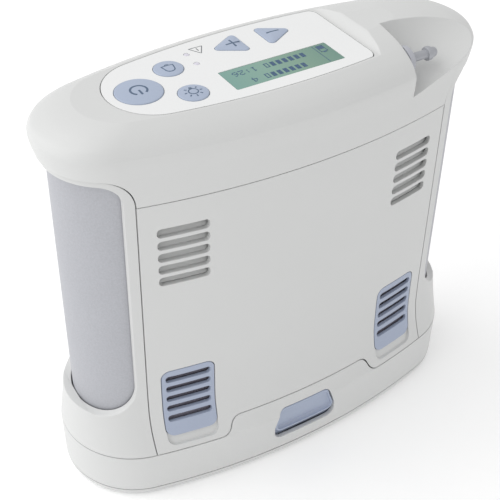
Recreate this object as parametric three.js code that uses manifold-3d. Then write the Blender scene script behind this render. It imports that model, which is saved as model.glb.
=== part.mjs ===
// Portable oxygen concentrator: housing, keypad, filters, sieve columns, compressor and slide-on battery.
// Millimetres, +Z up, +X along the long side, -Y towards the front face, origin at the bottom centre.
import * as THREE from 'three';
import Module from 'manifold-3d';
import { mergeVertices } from 'three/addons/utils/BufferGeometryUtils.js';

const wasm = await Module();
wasm.setup();

// ---------------------------------------------------------------- driving dimensions
const FACE_RADIUS = 300;          // both long faces bow outwards on this radius
const GAP = 0.4;                  // shadow gap between two mouldings
const FIT = 0.3;                  // clearance between touching pieces
const ARC_STEPS = 8;              // facets on each arc of an oval

const BATTERY_TOP = 24.6;         // split line between battery and body
const HUMP_TOP = 32.3;            // top of the battery's central rail
const CAP_SEAM = 151;             // split line between panels and top cap
const END_SEAM = 163.5;           // the same line where it steps up over the columns
const PANEL_TOP = 180.6;          // face of the keypad
const HOOD_TOP = 183.7;           // crown beside the nozzle
const PANEL_HALF = 70.3;          // half length of the front and rear panels
const WALL = 2.2;                 // moulded wall thickness

const COLUMN = { a: 90.6, b: 32.2, inner: 66.5, bottom: 40, top: 161.6 };
const OPENING = { edge: 74.6, bottom: 45, top: 161, lowRadius: 17, highRadius: 8 };

// Half length and half depth of the outer wall at each height, from the base upwards.
const BASE_WALL = [
  { z: 0, a: 93.6, b: 37.4 },
  { z: 1.1, a: 95.6, b: 39.4 },
  { z: 2.6, a: 96.5, b: 40.3 },
  { z: 4.2, a: 96.8, b: 40.6 },
];
const BATTERY_WALL = [
  { z: 4.2 + GAP, a: 96.8, b: 40.6 },
  { z: BATTERY_TOP, a: 97, b: 40.9 },
];
const BODY_WALL = [
  { z: BATTERY_TOP, a: 97, b: 40.9 },
  { z: 30, a: 96.5, b: 38.5 },
  { z: 37, a: 95.7, b: 36.3 },
  { z: 46, a: 94.7, b: 35 },
  { z: 60, a: 93.3, b: 34.7 },
  { z: 170, a: 93, b: 34.7 },
];
const CAP_WALL = [
  { z: CAP_SEAM, a: 93.9, b: 34.9 },
  { z: 163, a: 94.2, b: 35.2 },
  { z: 168, a: 95.4, b: 35.7 },
  { z: 171.5, a: 96, b: 35.8 },
  { z: 174.6, a: 94.6, b: 34.2 },
  { z: 177.6, a: 89.5, b: 31 },
  { z: 179.6, a: 83.5, b: 27.4 },
  { z: PANEL_TOP, a: 79, b: 25 },
  { z: 182.3, a: 70, b: 19 },
  { z: HOOD_TOP, a: 58, b: 11 },
];

const OVERLAY = { a: 67, b: 23.8, right: 35.9, corner: 5.5, thickness: 1.4 };
const KEYS = [
  { name: 'power', x: -54.5, y: -0.8, radius: 9 },
  { name: 'alert', x: -37.5, y: 8.5, radius: 5.75 },
  { name: 'light', x: -38, y: -11.3, radius: 5.75 },
  { name: 'plus', x: -7.6, y: 12.7, points: -1 },
  { name: 'minus', x: 10.4, y: 12.7, points: 1 },
];
const KEY_TRIANGLE = { reach: 7.4, corner: 1.6 };
const KEY_TOP = PANEL_TOP + 0.3;
const LED = { radius: 1.1, x: -26.4, ys: [14.7, 6.8] };
const LCD = { x: 0.5, y: -10.4, length: 47.4, depth: 14 };

const NOZZLE = { wallX: 48.5, y: -22, z: 174.5, collarRadius: 5.8, collarDepth: 2.4 };
const SCOOP = { y: -33, z: 186, halfY: 27, halfZ: 23, rise: 0.2 };

const LOUVRE = { inner: 43.2, outer: 63.3, top: 139.4, pitch: 5.72, height: 4, count: 5, radius: 1.8 };
const FILTER = { inner: 42, outer: 64.4, top: 66.6, bottom: 31.4, radius: 3.6, thickness: 1.7 };
const FILTER_SLOT = { length: 19, height: 3.2, pitch: 5.5, first: 61.9, count: 5, radius: 1.4 };
const FINGER_SCOOP = { bottom: 27.2, depth: 1.3 };

const LATCH = { halfTop: 13.5, halfBottom: 15.6, top: 27.4, bottom: 14.6, corner: 3.4, travel: 3.5 };
const HUMP = { crown: 31, foot: 41.5, middle: 36.2 };

const BACK_PLATE = { halfX: 17.4, bottom: 10, top: 29.4, outer: -35, inner: -33.5 };
const SKIRT = { halfX: 17.2, front: -37.4, top: 21 };
const TUB_INSIDE = { a: 94.6, b: 38.4 };
const RAIL_INSIDE = { halfX: 29, front: -35.3, back: 34.8 };
const PLUG_BAY = { halfX: 11.4, front: 32.5, bottom: 24.8, top: 30.7 };
const BASE_WELL = { floor: 2.2, a: 94, b: 37.8 };
const SCREWS = { places: [[-80, 0], [80, 0], [-8, -33.6], [8, 33.6]], head: 2.5, shank: 1.1, top: 6 };
const SCREW_BOSS = { radius: 3.6, top: 4.2, sink: 2.9, sinkTop: 1.3, hole: 1.4 };

const CELL = { radius: 9.2, length: 64.6, rowPitch: 19.2, z: 12.4, apart: 1.2 };
const TRAY = { halfX: 58, halfY: 24.5, z: 35, thickness: 2, holeX: 48, holeRadius: 7 };
const MOTOR = { radius: 19, length: 44, z: 58, footX: 18, footY: 16 };
const HEAD = { inner: 25.4, outer: 43, halfY: 15, bottom: 42, top: 74, grooves: 4, pitch: 4, grooveFloor: 69 };
const MANIFOLD = { halfX: 34, front: -1.5, back: 22, bottom: 84, top: 96 };
const SOLENOID = { xs: [-9, 11], y: 9, radius: 8, height: 24 };
const ACCUMULATOR = { x: 26, y: -14, z: 101.5, radius: 12, length: 56 };
const FAN = { x: -41, y: 14, z: 128, half: 20, front: 5.5, back: 8, hub: 7, hubDepth: 8, blades: 7, pin: 1.2 };
const MAIN_BOARD = [18, 64, 23, 24.6, 100, 148];
const OXYGEN_SENSOR = [24, 50, 8, 22.6, 118, 132];
const TUBE_RADIUS = 2.2;
const JACK = { x: -18, y: 31.5, z: 52, radius: 5, bore: 3.4, pin: 1, length: 12 };

// ---------------------------------------------------------------- materials
function plastic(color, roughness = 0.5) {
  return new THREE.MeshStandardMaterial({ color, roughness, metalness: 0 });
}
function metal(color, roughness = 0.35) {
  return new THREE.MeshStandardMaterial({ color, roughness, metalness: 0.9 });
}
const SHELL = 0xdcdedd;
const OVERLAY_WHITE = 0xe6e7e7;
const ACCENT = 0xa5b0cc;
const KEY_BLUE = 0xb4c1d8;
const COLUMN_GREY = 0xb6bcc8;

// ---------------------------------------------------------------- solids
function solid(geometry) {
  const bare = geometry.clone();
  bare.deleteAttribute('normal');
  bare.deleteAttribute('uv');
  const merged = mergeVertices(bare, 1e-4);
  const vertProperties = new Float32Array(merged.attributes.position.array);
  const triVerts = new Uint32Array(merged.index.array);
  return new wasm.Manifold(new wasm.Mesh({ numProp: 3, vertProperties, triVerts }));
}

function geometryOf(manifold) {
  const mesh = manifold.getMesh();
  const geometry = new THREE.BufferGeometry();
  geometry.setAttribute('position', new THREE.BufferAttribute(new Float32Array(mesh.vertProperties), 3));
  geometry.setIndex(new THREE.BufferAttribute(new Uint32Array(mesh.triVerts), 1));
  return geometry;
}

// An oval of four tangent arcs: two long face arcs and two end arcs, counter-clockwise.
function ovalPoints(a, b) {
  const endRadius = (2 * FACE_RADIUS * b - b * b - a * a) / (2 * (FACE_RADIUS - a));
  const endX = a - endRadius;
  const faceY = FACE_RADIUS - b;
  const turn = Math.atan2(endX, faceY);
  const points = [];
  const arc = (cx, cy, radius, from, to) => {
    for (let i = 0; i < ARC_STEPS; i += 1) {
      const angle = from + ((to - from) * i) / ARC_STEPS;
      points.push([cx + radius * Math.cos(angle), cy + radius * Math.sin(angle)]);
    }
  };
  const quarter = Math.PI / 2;
  arc(0, -faceY, FACE_RADIUS, quarter - turn, quarter + turn);
  arc(-endX, 0, endRadius, quarter + turn, 3 * quarter - turn);
  arc(0, faceY, FACE_RADIUS, 3 * quarter - turn, 3 * quarter + turn);
  arc(endX, 0, endRadius, 3 * quarter + turn, 5 * quarter - turn);
  return points;
}

// A closed solid through ovals stacked at rising heights.
function loft(rings, inset = 0) {
  const positions = [];
  const triangles = [];
  let count = 0;
  for (const ring of rings) {
    const points = ovalPoints(ring.a - inset, ring.b - inset);
    count = points.length;
    points.forEach(([x, y]) => positions.push(x, y, ring.z));
  }
  const last = (rings.length - 1) * count;
  for (let level = 0; level < rings.length - 1; level += 1) {
    for (let i = 0; i < count; i += 1) {
      const j = (i + 1) % count;
      const low = level * count;
      const high = low + count;
      triangles.push(low + i, low + j, high + j, low + i, high + j, high + i);
    }
  }
  for (let i = 1; i < count - 1; i += 1) {
    triangles.push(0, i + 1, i);
    triangles.push(last, last + i, last + i + 1);
  }
  const geometry = new THREE.BufferGeometry();
  geometry.setAttribute('position', new THREE.Float32BufferAttribute(positions, 3));
  geometry.setIndex(triangles);
  return solid(geometry);
}

// The part of a wall table between two heights, with rings made at both ends.
function wallBetween(table, low, high) {
  const at = (z) => {
    const above = table.findIndex((ring) => ring.z >= z);
    const upper = table[above];
    const lower = table[Math.max(above - 1, 0)];
    const t = upper === lower ? 0 : (z - lower.z) / (upper.z - lower.z);
    return { z, a: lower.a + t * (upper.a - lower.a), b: lower.b + t * (upper.b - lower.b) };
  };
  return [at(low), ...table.filter((ring) => ring.z > low + 0.01 && ring.z < high - 0.01), at(high)];
}

function block(x0, x1, y0, y1, z0, z1) {
  const geometry = new THREE.BoxGeometry(x1 - x0, y1 - y0, z1 - z0);
  geometry.translate((x0 + x1) / 2, (y0 + y1) / 2, (z0 + z1) / 2);
  return solid(geometry);
}

function roundedRect(x0, x1, y0, y1, radius) {
  const shape = new THREE.Shape();
  shape.moveTo(x0 + radius, y0);
  shape.lineTo(x1 - radius, y0);
  shape.absarc(x1 - radius, y0 + radius, radius, -Math.PI / 2, 0);
  shape.lineTo(x1, y1 - radius);
  shape.absarc(x1 - radius, y1 - radius, radius, 0, Math.PI / 2);
  shape.lineTo(x0 + radius, y1);
  shape.absarc(x0 + radius, y1 - radius, radius, Math.PI / 2, Math.PI);
  shape.lineTo(x0, y0 + radius);
  shape.absarc(x0 + radius, y0 + radius, radius, Math.PI, Math.PI * 1.5);
  return shape;
}

function prismZ(shape, z0, z1, curveSegments = 4) {
  const geometry = new THREE.ExtrudeGeometry(shape, { depth: z1 - z0, bevelEnabled: false, curveSegments });
  geometry.translate(0, 0, z0);
  return solid(geometry);
}

// A shape drawn in X and Z, extruded along Y.
function prismY(shape, y0, y1, curveSegments = 2) {
  const geometry = new THREE.ExtrudeGeometry(shape, { depth: y1 - y0, bevelEnabled: false, curveSegments });
  geometry.rotateX(Math.PI / 2);
  geometry.translate(0, y1, 0);
  return solid(geometry);
}

// A round bar between two points on a line parallel to one axis.
function bar(axis, radius, centre, length, segments = 20) {
  const geometry = new THREE.CylinderGeometry(radius, radius, length, segments);
  if (axis === 'x') geometry.rotateZ(Math.PI / 2);
  if (axis === 'z') geometry.rotateX(Math.PI / 2);
  geometry.translate(...centre);
  return solid(geometry);
}

function union(...solids) {
  return solids.reduce((sum, item) => sum.add(item));
}

function cut(body, ...tools) {
  return tools.reduce((rest, tool) => rest.subtract(tool), body);
}

const model = new THREE.Group();

function add(name, manifold, material) {
  const mesh = new THREE.Mesh(geometryOf(manifold), material);
  mesh.name = name;
  model.add(mesh);
}

// ---------------------------------------------------------------- outlines
// The battery rail's section: a flat crown with an S-shaped shoulder on each side.
function humpShape(grow) {
  const shape = new THREE.Shape();
  const foot = BATTERY_TOP - 4;
  const top = HUMP_TOP + grow;
  const base = BATTERY_TOP + grow;
  const swing = (top - base) / 2;
  shape.moveTo(-HUMP.foot - grow, foot);
  shape.lineTo(HUMP.foot + grow, foot);
  shape.lineTo(HUMP.foot + grow, base);
  shape.quadraticCurveTo(HUMP.middle + 1.4 + grow, base, HUMP.middle + grow, base + swing);
  shape.quadraticCurveTo(HUMP.middle - 1.4 + grow, top, HUMP.crown + grow, top);
  shape.lineTo(-HUMP.crown - grow, top);
  shape.quadraticCurveTo(-HUMP.middle + 1.4 - grow, top, -HUMP.middle - grow, base + swing);
  shape.quadraticCurveTo(-HUMP.middle - 1.4 - grow, base, -HUMP.foot - grow, base);
  return shape;
}

// The region outboard of a panel and below the cap, for the end frame on one side.
function endRegion(side, grow) {
  const radius = 12;
  const inner = PANEL_HALF + grow;
  const top = END_SEAM - GAP / 2 + (grow < 0 ? GAP : 0);
  const outer = 120;
  const shape = new THREE.Shape();
  shape.moveTo(side * outer, BATTERY_TOP + GAP - (grow < 0 ? 10 : 0));
  shape.lineTo(side * outer, top);
  shape.lineTo(side * (inner + radius), top);
  if (side > 0) {
    shape.absarc(inner + radius, top - radius, radius, Math.PI / 2, Math.PI);
  } else {
    shape.absarc(-inner - radius, top - radius, radius, Math.PI / 2, 0, true);
  }
  shape.lineTo(side * inner, BATTERY_TOP + GAP - (grow < 0 ? 10 : 0));
  return shape;
}

// The hole in an end frame that shows the sieve column.
function openingShape(side) {
  const { edge, bottom, top, lowRadius, highRadius } = OPENING;
  const outer = 120;
  const shape = new THREE.Shape();
  shape.moveTo(side * outer, bottom);
  shape.lineTo(side * outer, top);
  shape.lineTo(side * (edge + highRadius), top);
  shape.absellipse(side * (edge + highRadius), top - highRadius, highRadius, highRadius,
    Math.PI / 2, side > 0 ? Math.PI : 0, side < 0, 0);
  shape.lineTo(side * edge, bottom + lowRadius);
  shape.absellipse(side * (edge + lowRadius), bottom + lowRadius, lowRadius, lowRadius,
    side > 0 ? Math.PI : 0, side > 0 ? Math.PI * 1.5 : -Math.PI / 2, side < 0, 0);
  return shape;
}

function panelShape() {
  const shape = new THREE.Shape();
  const half = PANEL_HALF - GAP / 2;
  shape.moveTo(-half, BATTERY_TOP + GAP);
  shape.lineTo(half, BATTERY_TOP + GAP);
  shape.lineTo(half, CAP_SEAM - GAP);
  shape.lineTo(-half, CAP_SEAM - GAP);
  return shape;
}

function triangleKey(key, grow) {
  const reach = KEY_TRIANGLE.reach + grow;
  const turn = key.points > 0 ? 0 : Math.PI;
  const corner = KEY_TRIANGLE.corner + grow;
  const shape = new THREE.Shape();
  for (let i = 0; i < 3; i += 1) {
    const angle = turn + (i * Math.PI * 2) / 3;
    const cx = key.x + (reach - corner) * Math.cos(angle);
    const cy = key.y + (reach - corner) * Math.sin(angle);
    shape.absarc(cx, cy, corner, angle - Math.PI / 3, angle + Math.PI / 3);
  }
  return shape;
}

function keyShape(key, grow) {
  if (key.points) return triangleKey(key, grow);
  const shape = new THREE.Shape();
  shape.absarc(key.x, key.y, key.radius + grow, 0, Math.PI * 2);
  return shape;
}

function keySegments(key) {
  return key.points ? 2 : 14;
}

function overlaySolid(z0, z1, inset) {
  const oval = loft([{ z: z0, ...OVERLAY }, { z: z1, ...OVERLAY }], inset);
  const halfDepth = OVERLAY.b - 0.7 - inset;
  const frame = prismZ(roundedRect(-90, OVERLAY.right - inset, -halfDepth, halfDepth, OVERLAY.corner), z0, z1);
  const left = block(-90, 19, -40, 40, z0, z1);
  return oval.intersect(frame.add(left));
}

function latchShape(grow) {
  const { halfTop, halfBottom, top, bottom, corner } = LATCH;
  const lean = halfBottom - halfTop;
  const shape = new THREE.Shape();
  const radius = corner + grow;
  const high = top - corner;
  const low = bottom + corner;
  shape.absarc(halfTop - corner, high, radius, 0, Math.PI / 2);
  shape.absarc(-halfTop + corner, high, radius, Math.PI / 2, Math.PI);
  shape.absarc(-halfTop - lean + corner, low, radius, Math.PI, Math.PI * 1.5);
  shape.absarc(halfTop + lean - corner, low, radius, -Math.PI / 2, 0);
  return shape;
}

// ---------------------------------------------------------------- top cap and keypad
function scoopTool(grow) {
  const shape = new THREE.Shape();
  shape.absellipse(0, 0, SCOOP.halfY + grow, SCOOP.halfZ + grow, 0, Math.PI * 2);
  const length = 80;
  const geometry = new THREE.ExtrudeGeometry(shape, { depth: length, bevelEnabled: false, curveSegments: 28 });
  geometry.rotateX(Math.PI / 2);
  geometry.rotateZ(Math.PI / 2);
  const lift = new THREE.Matrix4().makeShear(0, SCOOP.rise, 0, 0, 0, 0);
  geometry.applyMatrix4(lift);
  geometry.translate(NOZZLE.wallX - grow, SCOOP.y, SCOOP.z);
  return solid(geometry);
}

function topCap() {
  const outer = loft(CAP_WALL);
  const roof = PANEL_TOP - OVERLAY.thickness - 1.4;
  const innerRings = wallBetween(CAP_WALL, CAP_SEAM, roof).map((ring) => ({ ...ring }));
  innerRings[0].z = CAP_SEAM - 1;
  const hollow = loft(innerRings, WALL).subtract(scoopTool(WALL));
  const step = new THREE.Shape();
  step.moveTo(-120, PANEL_TOP);
  step.lineTo(OVERLAY.right + 0.6, PANEL_TOP);
  step.lineTo(OVERLAY.right + 5.2, HOOD_TOP + 0.1);
  step.lineTo(OVERLAY.right + 5.2, HOOD_TOP + 10);
  step.lineTo(-120, HOOD_TOP + 10);
  const pocket = overlaySolid(PANEL_TOP - OVERLAY.thickness - FIT, PANEL_TOP + 5, -FIT);
  let cap = cut(outer, prismY(step, -60, 60), hollow, scoopTool(0), pocket);
  for (const side of [-1, 1]) {
    cap = cap.subtract(prismY(endRegion(side, -GAP), -60, 60, 6));
  }
  for (const key of KEYS) {
    cap = cap.subtract(prismZ(keyShape(key, 0.6), 170, 190, keySegments(key)));
  }
  for (const y of LED.ys) {
    cap = cap.subtract(bar('z', LED.radius + FIT, [LED.x, y, PANEL_TOP], 12, 10));
  }
  const half = { x: LCD.length / 2 - 1.2, y: LCD.depth / 2 - 1.2 };
  const window = block(LCD.x - half.x, LCD.x + half.x, LCD.y - half.y, LCD.y + half.y, 170, 190);
  const nozzleHole = bar('x', 2.3, [NOZZLE.wallX, NOZZLE.y, NOZZLE.z], 20, 12);
  return cut(cap, window, nozzleHole);
}

function keypadOverlay() {
  let overlay = overlaySolid(PANEL_TOP - OVERLAY.thickness, PANEL_TOP, 0);
  for (const key of KEYS) {
    overlay = overlay.subtract(prismZ(keyShape(key, FIT), 170, 190, keySegments(key)));
  }
  for (const y of LED.ys) {
    overlay = overlay.subtract(bar('z', LED.radius + FIT, [LED.x, y, PANEL_TOP], 12, 10));
  }
  const half = { x: LCD.length / 2 + FIT, y: LCD.depth / 2 + FIT };
  return overlay.subtract(block(LCD.x - half.x, LCD.x + half.x, LCD.y - half.y, LCD.y + half.y, 170, 190));
}

function keyCap(key) {
  const underside = PANEL_TOP - OVERLAY.thickness - 1.4;
  const button = prismZ(keyShape(key, 0), underside - 1.2, KEY_TOP, keySegments(key));
  const flange = prismZ(keyShape(key, 1.2), underside - 1.4, underside - 0.5, keySegments(key));
  return button.add(flange);
}

function addKeypad() {
  add('top_cap', topCap(), plastic(SHELL));
  add('keypad_overlay', keypadOverlay(), plastic(OVERLAY_WHITE, 0.4));
  for (const key of KEYS) {
    add(`key_${key.name}`, keyCap(key), plastic(KEY_BLUE, 0.45));
  }
  LED.ys.forEach((y, index) => {
    const pipe = bar('z', LED.radius, [LED.x, y, PANEL_TOP - 1.4], 3, 10);
    add(`led_pipe_${index + 1}`, pipe, plastic(0xdcdcea, 0.2));
  });
  const x0 = LCD.x - LCD.length / 2;
  const y0 = LCD.y - LCD.depth / 2;
  const windowTop = PANEL_TOP - 0.1;
  const glass = block(x0, x0 + LCD.length, y0, y0 + LCD.depth, windowTop - 1, windowTop);
  add('lcd_window', glass, plastic(0x7faa91, 0.12));
  const moduleTop = PANEL_TOP - OVERLAY.thickness - 2.2;
  add('lcd_module', block(x0 - 2, x0 + LCD.length + 2, y0 - 2, y0 + LCD.depth + 1, moduleTop - 3.5, moduleTop),
    plastic(0x2c3034, 0.6));
  add('display_board', prismZ(roundedRect(-66, 34, -19, 19, 4), moduleTop - 5.6, moduleTop - 4),
    plastic(0x1f6b45, 0.5));
  add('buzzer', bar('z', 5, [-30, 0, moduleTop - 8.2], 4.6, 16), plastic(0x202225, 0.6));
}

function addNozzle() {
  const { wallX, y, z, collarRadius, collarDepth } = NOZZLE;
  const disc = bar('x', collarRadius, [wallX + FIT + collarDepth / 2, y, z], collarDepth, 28);
  const bore = bar('x', 2.3, [wallX, y, z], 20, 12);
  add('nozzle_collar', disc.subtract(bore), plastic(0xa9adb3, 0.4));
  const profile = [
    [1.1, -4.5], [2, -4.5], [2, 9], [1.9, 10.6], [2.4, 11.4], [3.1, 12.4], [3.1, 13.2],
    [2.4, 15.4], [1.7, 16.9], [1.1, 16.9],
  ].map(([radius, along]) => new THREE.Vector2(radius, along));
  profile.push(profile[0].clone());
  const geometry = new THREE.LatheGeometry(profile, 12);
  geometry.rotateZ(-Math.PI / 2);
  geometry.translate(wallX, y, z);
  add('cannula_nozzle', solid(geometry), metal(0xa6a9ae));
}

// ---------------------------------------------------------------- panels, filters and end frames
function slot(x0, x1, zTop, height, radius) {
  return prismY(roundedRect(x0, x1, zTop - height, zTop, radius), -60, 60, 1);
}

function filterShape(side, grow) {
  const x0 = side > 0 ? FILTER.inner : -FILTER.outer;
  const x1 = side > 0 ? FILTER.outer : -FILTER.inner;
  return roundedRect(x0 - grow, x1 + grow, FILTER.bottom - grow, FILTER.top + grow, FILTER.radius);
}

function fingerScoop(side, face) {
  const x0 = side > 0 ? FILTER.inner : -FILTER.outer;
  const x1 = side > 0 ? FILTER.outer : -FILTER.inner;
  const shape = roundedRect(x0, x1, FINGER_SCOOP.bottom, FILTER.bottom + 6, 3.4);
  const band = prismY(shape, -60, 60, 2);
  const depth = FINGER_SCOOP.depth;
  const core = loft(wallBetween(BODY_WALL, BATTERY_TOP + GAP, FILTER.bottom + 8), depth);
  const half = face < 0 ? block(-120, 120, -60, 0, 0, 200) : block(-120, 120, 0, 60, 0, 200);
  return band.intersect(half).subtract(core);
}

function facePanel(face) {
  const low = BATTERY_TOP + GAP;
  const rings = wallBetween(BODY_WALL, low, CAP_SEAM - GAP);
  const inside = wallBetween(BODY_WALL, low, CAP_SEAM - GAP).map((ring) => ({ ...ring }));
  inside[0].z = low - 1;
  inside[inside.length - 1].z = CAP_SEAM + 1;
  const half = face < 0 ? [-60, -10] : [10, 60];
  let panel = loft(rings).subtract(loft(inside, WALL)).intersect(prismY(panelShape(), ...half));
  panel = panel.subtract(prismY(humpShape(GAP), -60, 60, 5));
  for (const side of [-1, 1]) {
    const x0 = side > 0 ? LOUVRE.inner : -LOUVRE.outer;
    const x1 = side > 0 ? LOUVRE.outer : -LOUVRE.inner;
    for (let i = 0; i < LOUVRE.count; i += 1) {
      panel = panel.subtract(slot(x0, x1, LOUVRE.top - i * LOUVRE.pitch, LOUVRE.height, LOUVRE.radius));
    }
    panel = cut(panel, prismY(filterShape(side, FIT), -60, 60), fingerScoop(side, face));
  }
  return panel;
}

function filterFrame(side, face) {
  const rings = wallBetween(BODY_WALL, FILTER.bottom - 2, FILTER.top + 2);
  const half = face < 0 ? [-60, -10] : [10, 60];
  const skin = loft(rings).subtract(loft(rings.map((ring, i) => ({
    ...ring, z: ring.z + (i === 0 ? -1 : 0) + (i === rings.length - 1 ? 1 : 0),
  })), FILTER.thickness));
  let frame = skin.intersect(prismY(filterShape(side, 0), ...half));
  const middle = (side * (FILTER.inner + FILTER.outer)) / 2;
  for (let i = 0; i < FILTER_SLOT.count; i += 1) {
    const top = FILTER_SLOT.first + FILTER_SLOT.height / 2 - i * FILTER_SLOT.pitch;
    frame = frame.subtract(slot(middle - FILTER_SLOT.length / 2, middle + FILTER_SLOT.length / 2, top,
      FILTER_SLOT.height, FILTER_SLOT.radius));
  }
  return frame;
}

function filterMesh(side, face) {
  const rings = wallBetween(BODY_WALL, FILTER.bottom - 2, FILTER.top + 2);
  const outerInset = FILTER.thickness + FIT;
  const innerInset = outerInset + 1;
  const half = face < 0 ? [-60, -10] : [10, 60];
  const skin = loft(rings, outerInset).subtract(loft(rings.map((ring, i) => ({
    ...ring, z: ring.z + (i === 0 ? -1 : 0) + (i === rings.length - 1 ? 1 : 0),
  })), innerInset));
  return skin.intersect(prismY(filterShape(side, -1), ...half));
}

function endFrame(side) {
  const low = BATTERY_TOP + GAP;
  const outer = loft(wallBetween(BODY_WALL, low, 169));
  const pocketWall = { a: COLUMN.a + 0.5, b: COLUMN.b + 0.5 };
  const pocket = loft([{ z: 38.5, ...pocketWall }, { z: 171, ...pocketWall }]);
  const belly = loft([{ z: 20, a: 94.4, b: 38.3 }, { z: low + 0.2, a: 94.4, b: 38.3 }, { z: 36, a: 92.8, b: 33.6 }]);
  const region = prismY(endRegion(side, GAP / 2), -60, 60, 6);
  return cut(outer.intersect(region), pocket, belly, prismY(openingShape(side), -60, 60, 6));
}

function sieveColumn(side) {
  const wall = { a: COLUMN.a, b: COLUMN.b };
  const full = loft([{ z: COLUMN.bottom, ...wall }, { z: COLUMN.top, ...wall }]);
  const span = side > 0 ? [COLUMN.inner, 120] : [-120, -COLUMN.inner];
  return full.intersect(block(...span, -60, 60, 0, 200));
}

function addHousing() {
  for (const [face, faceName] of [[-1, 'front'], [1, 'rear']]) {
    let panel = facePanel(face);
    if (face > 0) panel = panel.subtract(bar('y', JACK.radius + FIT, [JACK.x, JACK.y, JACK.z], 40, 24));
    add(`${faceName}_panel`, panel, plastic(SHELL));
    for (const [side, sideName] of [[-1, 'left'], [1, 'right']]) {
      add(`filter_frame_${faceName}_${sideName}`, filterFrame(side, face), plastic(ACCENT, 0.45));
      add(`filter_mesh_${faceName}_${sideName}`, filterMesh(side, face), plastic(0x5c5a68, 0.8));
    }
  }
  for (const [side, sideName] of [[-1, 'left'], [1, 'right']]) {
    add(`end_frame_${sideName}`, endFrame(side), plastic(SHELL));
    add(`column_${sideName}`, sieveColumn(side), metal(COLUMN_GREY, 0.5));
  }
}

// ---------------------------------------------------------------- battery
function batteryCase() {
  const bottom = BATTERY_WALL[0].z;
  const rail = loft(wallBetween(BODY_WALL, BATTERY_TOP, HUMP_TOP + 2)).intersect(prismY(humpShape(0), -60, 60, 5));
  const cavity = loft([{ z: bottom - 1, ...TUB_INSIDE }, { z: BATTERY_TOP - WALL, ...TUB_INSIDE }]);
  const railCavity = block(-RAIL_INSIDE.halfX, RAIL_INSIDE.halfX, RAIL_INSIDE.front, RAIL_INSIDE.back,
    bottom + 5, HUMP_TOP - WALL);
  const window = prismY(latchShape(FIT), -60, -20, 4);
  const travelled = window.translate([0, 0, -LATCH.travel]);
  const latchPath = wasm.Manifold.hull([window, travelled]);
  const plugBay = block(-PLUG_BAY.halfX, PLUG_BAY.halfX, PLUG_BAY.front, 60, PLUG_BAY.bottom, PLUG_BAY.top);
  return cut(union(loft(BATTERY_WALL), rail), cavity, railCavity, latchPath, plugBay);
}

function batteryBase() {
  const { floor, a, b } = BASE_WELL;
  let base = loft(BASE_WALL).subtract(loft([{ z: floor, a, b }, { z: 6, a, b }]));
  for (const [x, y] of SCREWS.places) {
    const boss = bar('z', SCREW_BOSS.radius, [x, y, SCREW_BOSS.top / 2 + 1], SCREW_BOSS.top - 2, 12);
    const sink = bar('z', SCREW_BOSS.sink, [x, y, 0], SCREW_BOSS.sinkTop * 2, 12);
    base = cut(base.add(boss), sink, bar('z', SCREW_BOSS.hole, [x, y, 3], 8, 8));
  }
  return base;
}

function baseScrew(x, y) {
  const headBottom = 0.3;
  const headTop = 1.2;
  const head = bar('z', SCREWS.head, [x, y, (headBottom + headTop) / 2], headTop - headBottom, 12);
  const shank = bar('z', SCREWS.shank, [x, y, (headTop + SCREWS.top) / 2 - 0.1], SCREWS.top - headTop + 0.2, 8);
  const drive = block(x - 1.5, x + 1.5, y - 0.35, y + 0.35, 0, 0.7);
  return head.add(shank).subtract(drive);
}

// The latch's face follows the wall and is dished inside a raised rim.
function batteryLatch() {
  const low = LATCH.bottom - 4;
  const high = LATCH.top + 3;
  const rimWall = loft([{ z: low, a: 96.7, b: 40.4 }, { z: high, a: 96.5, b: 39.4 }]);
  const floorWall = loft([{ z: low, a: 96, b: 39.3 }, { z: high, a: 95.8, b: 38.4 }]);
  const dish = prismY(latchShape(-1.4), -60, -30, 4).subtract(floorWall);
  const button = prismY(latchShape(0), -60, BACK_PLATE.outer + 0.1, 4).intersect(rimWall).subtract(dish);
  const plateShape = roundedRect(-BACK_PLATE.halfX, BACK_PLATE.halfX, BACK_PLATE.bottom, BACK_PLATE.top, 2);
  const plate = prismY(plateShape, BACK_PLATE.outer, BACK_PLATE.inner, 3);
  const skirt = block(-SKIRT.halfX, SKIRT.halfX, SKIRT.front, BACK_PLATE.inner, BACK_PLATE.bottom, SKIRT.top);
  return union(button, plate, skirt);
}

function addBattery() {
  add('battery_case', batteryCase(), plastic(SHELL));
  add('battery_base', batteryBase(), plastic(SHELL));
  add('battery_latch', batteryLatch(), plastic(ACCENT, 0.45));
  let index = 1;
  for (const row of [-1, 0, 1]) {
    for (const half of [-1, 1]) {
      const centre = [(half * (CELL.length + CELL.apart)) / 2, row * CELL.rowPitch, CELL.z];
      add(`cell_${index}`, bar('x', CELL.radius, centre, CELL.length, 20), plastic(0x2f6fb0, 0.4));
      index += 1;
    }
  }
  add('battery_board', block(67.5, 88, -14, 14, 9, 10.6), plastic(0x1f6b45, 0.5));
  add('battery_plug', block(-11, 11, 35.2, 38.2, 25.2, 30.2), plastic(0x24262a, 0.5));
  SCREWS.places.forEach(([x, y], i) => add(`base_screw_${i + 1}`, baseScrew(x, y), metal(0x9a9da1)));
}

// ---------------------------------------------------------------- works inside the housing
function compressorHead(side) {
  const near = side * HEAD.inner;
  const far = side * HEAD.outer;
  let head = block(Math.min(near, far), Math.max(near, far), -HEAD.halfY, HEAD.halfY, HEAD.bottom, HEAD.top);
  for (let i = 0; i < HEAD.grooves; i += 1) {
    const x = near + side * (3 + i * HEAD.pitch);
    head = head.subtract(block(x - 1, x + 1, -HEAD.halfY - 1, HEAD.halfY + 1, HEAD.grooveFloor, HEAD.top + 2));
  }
  return head;
}

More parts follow.
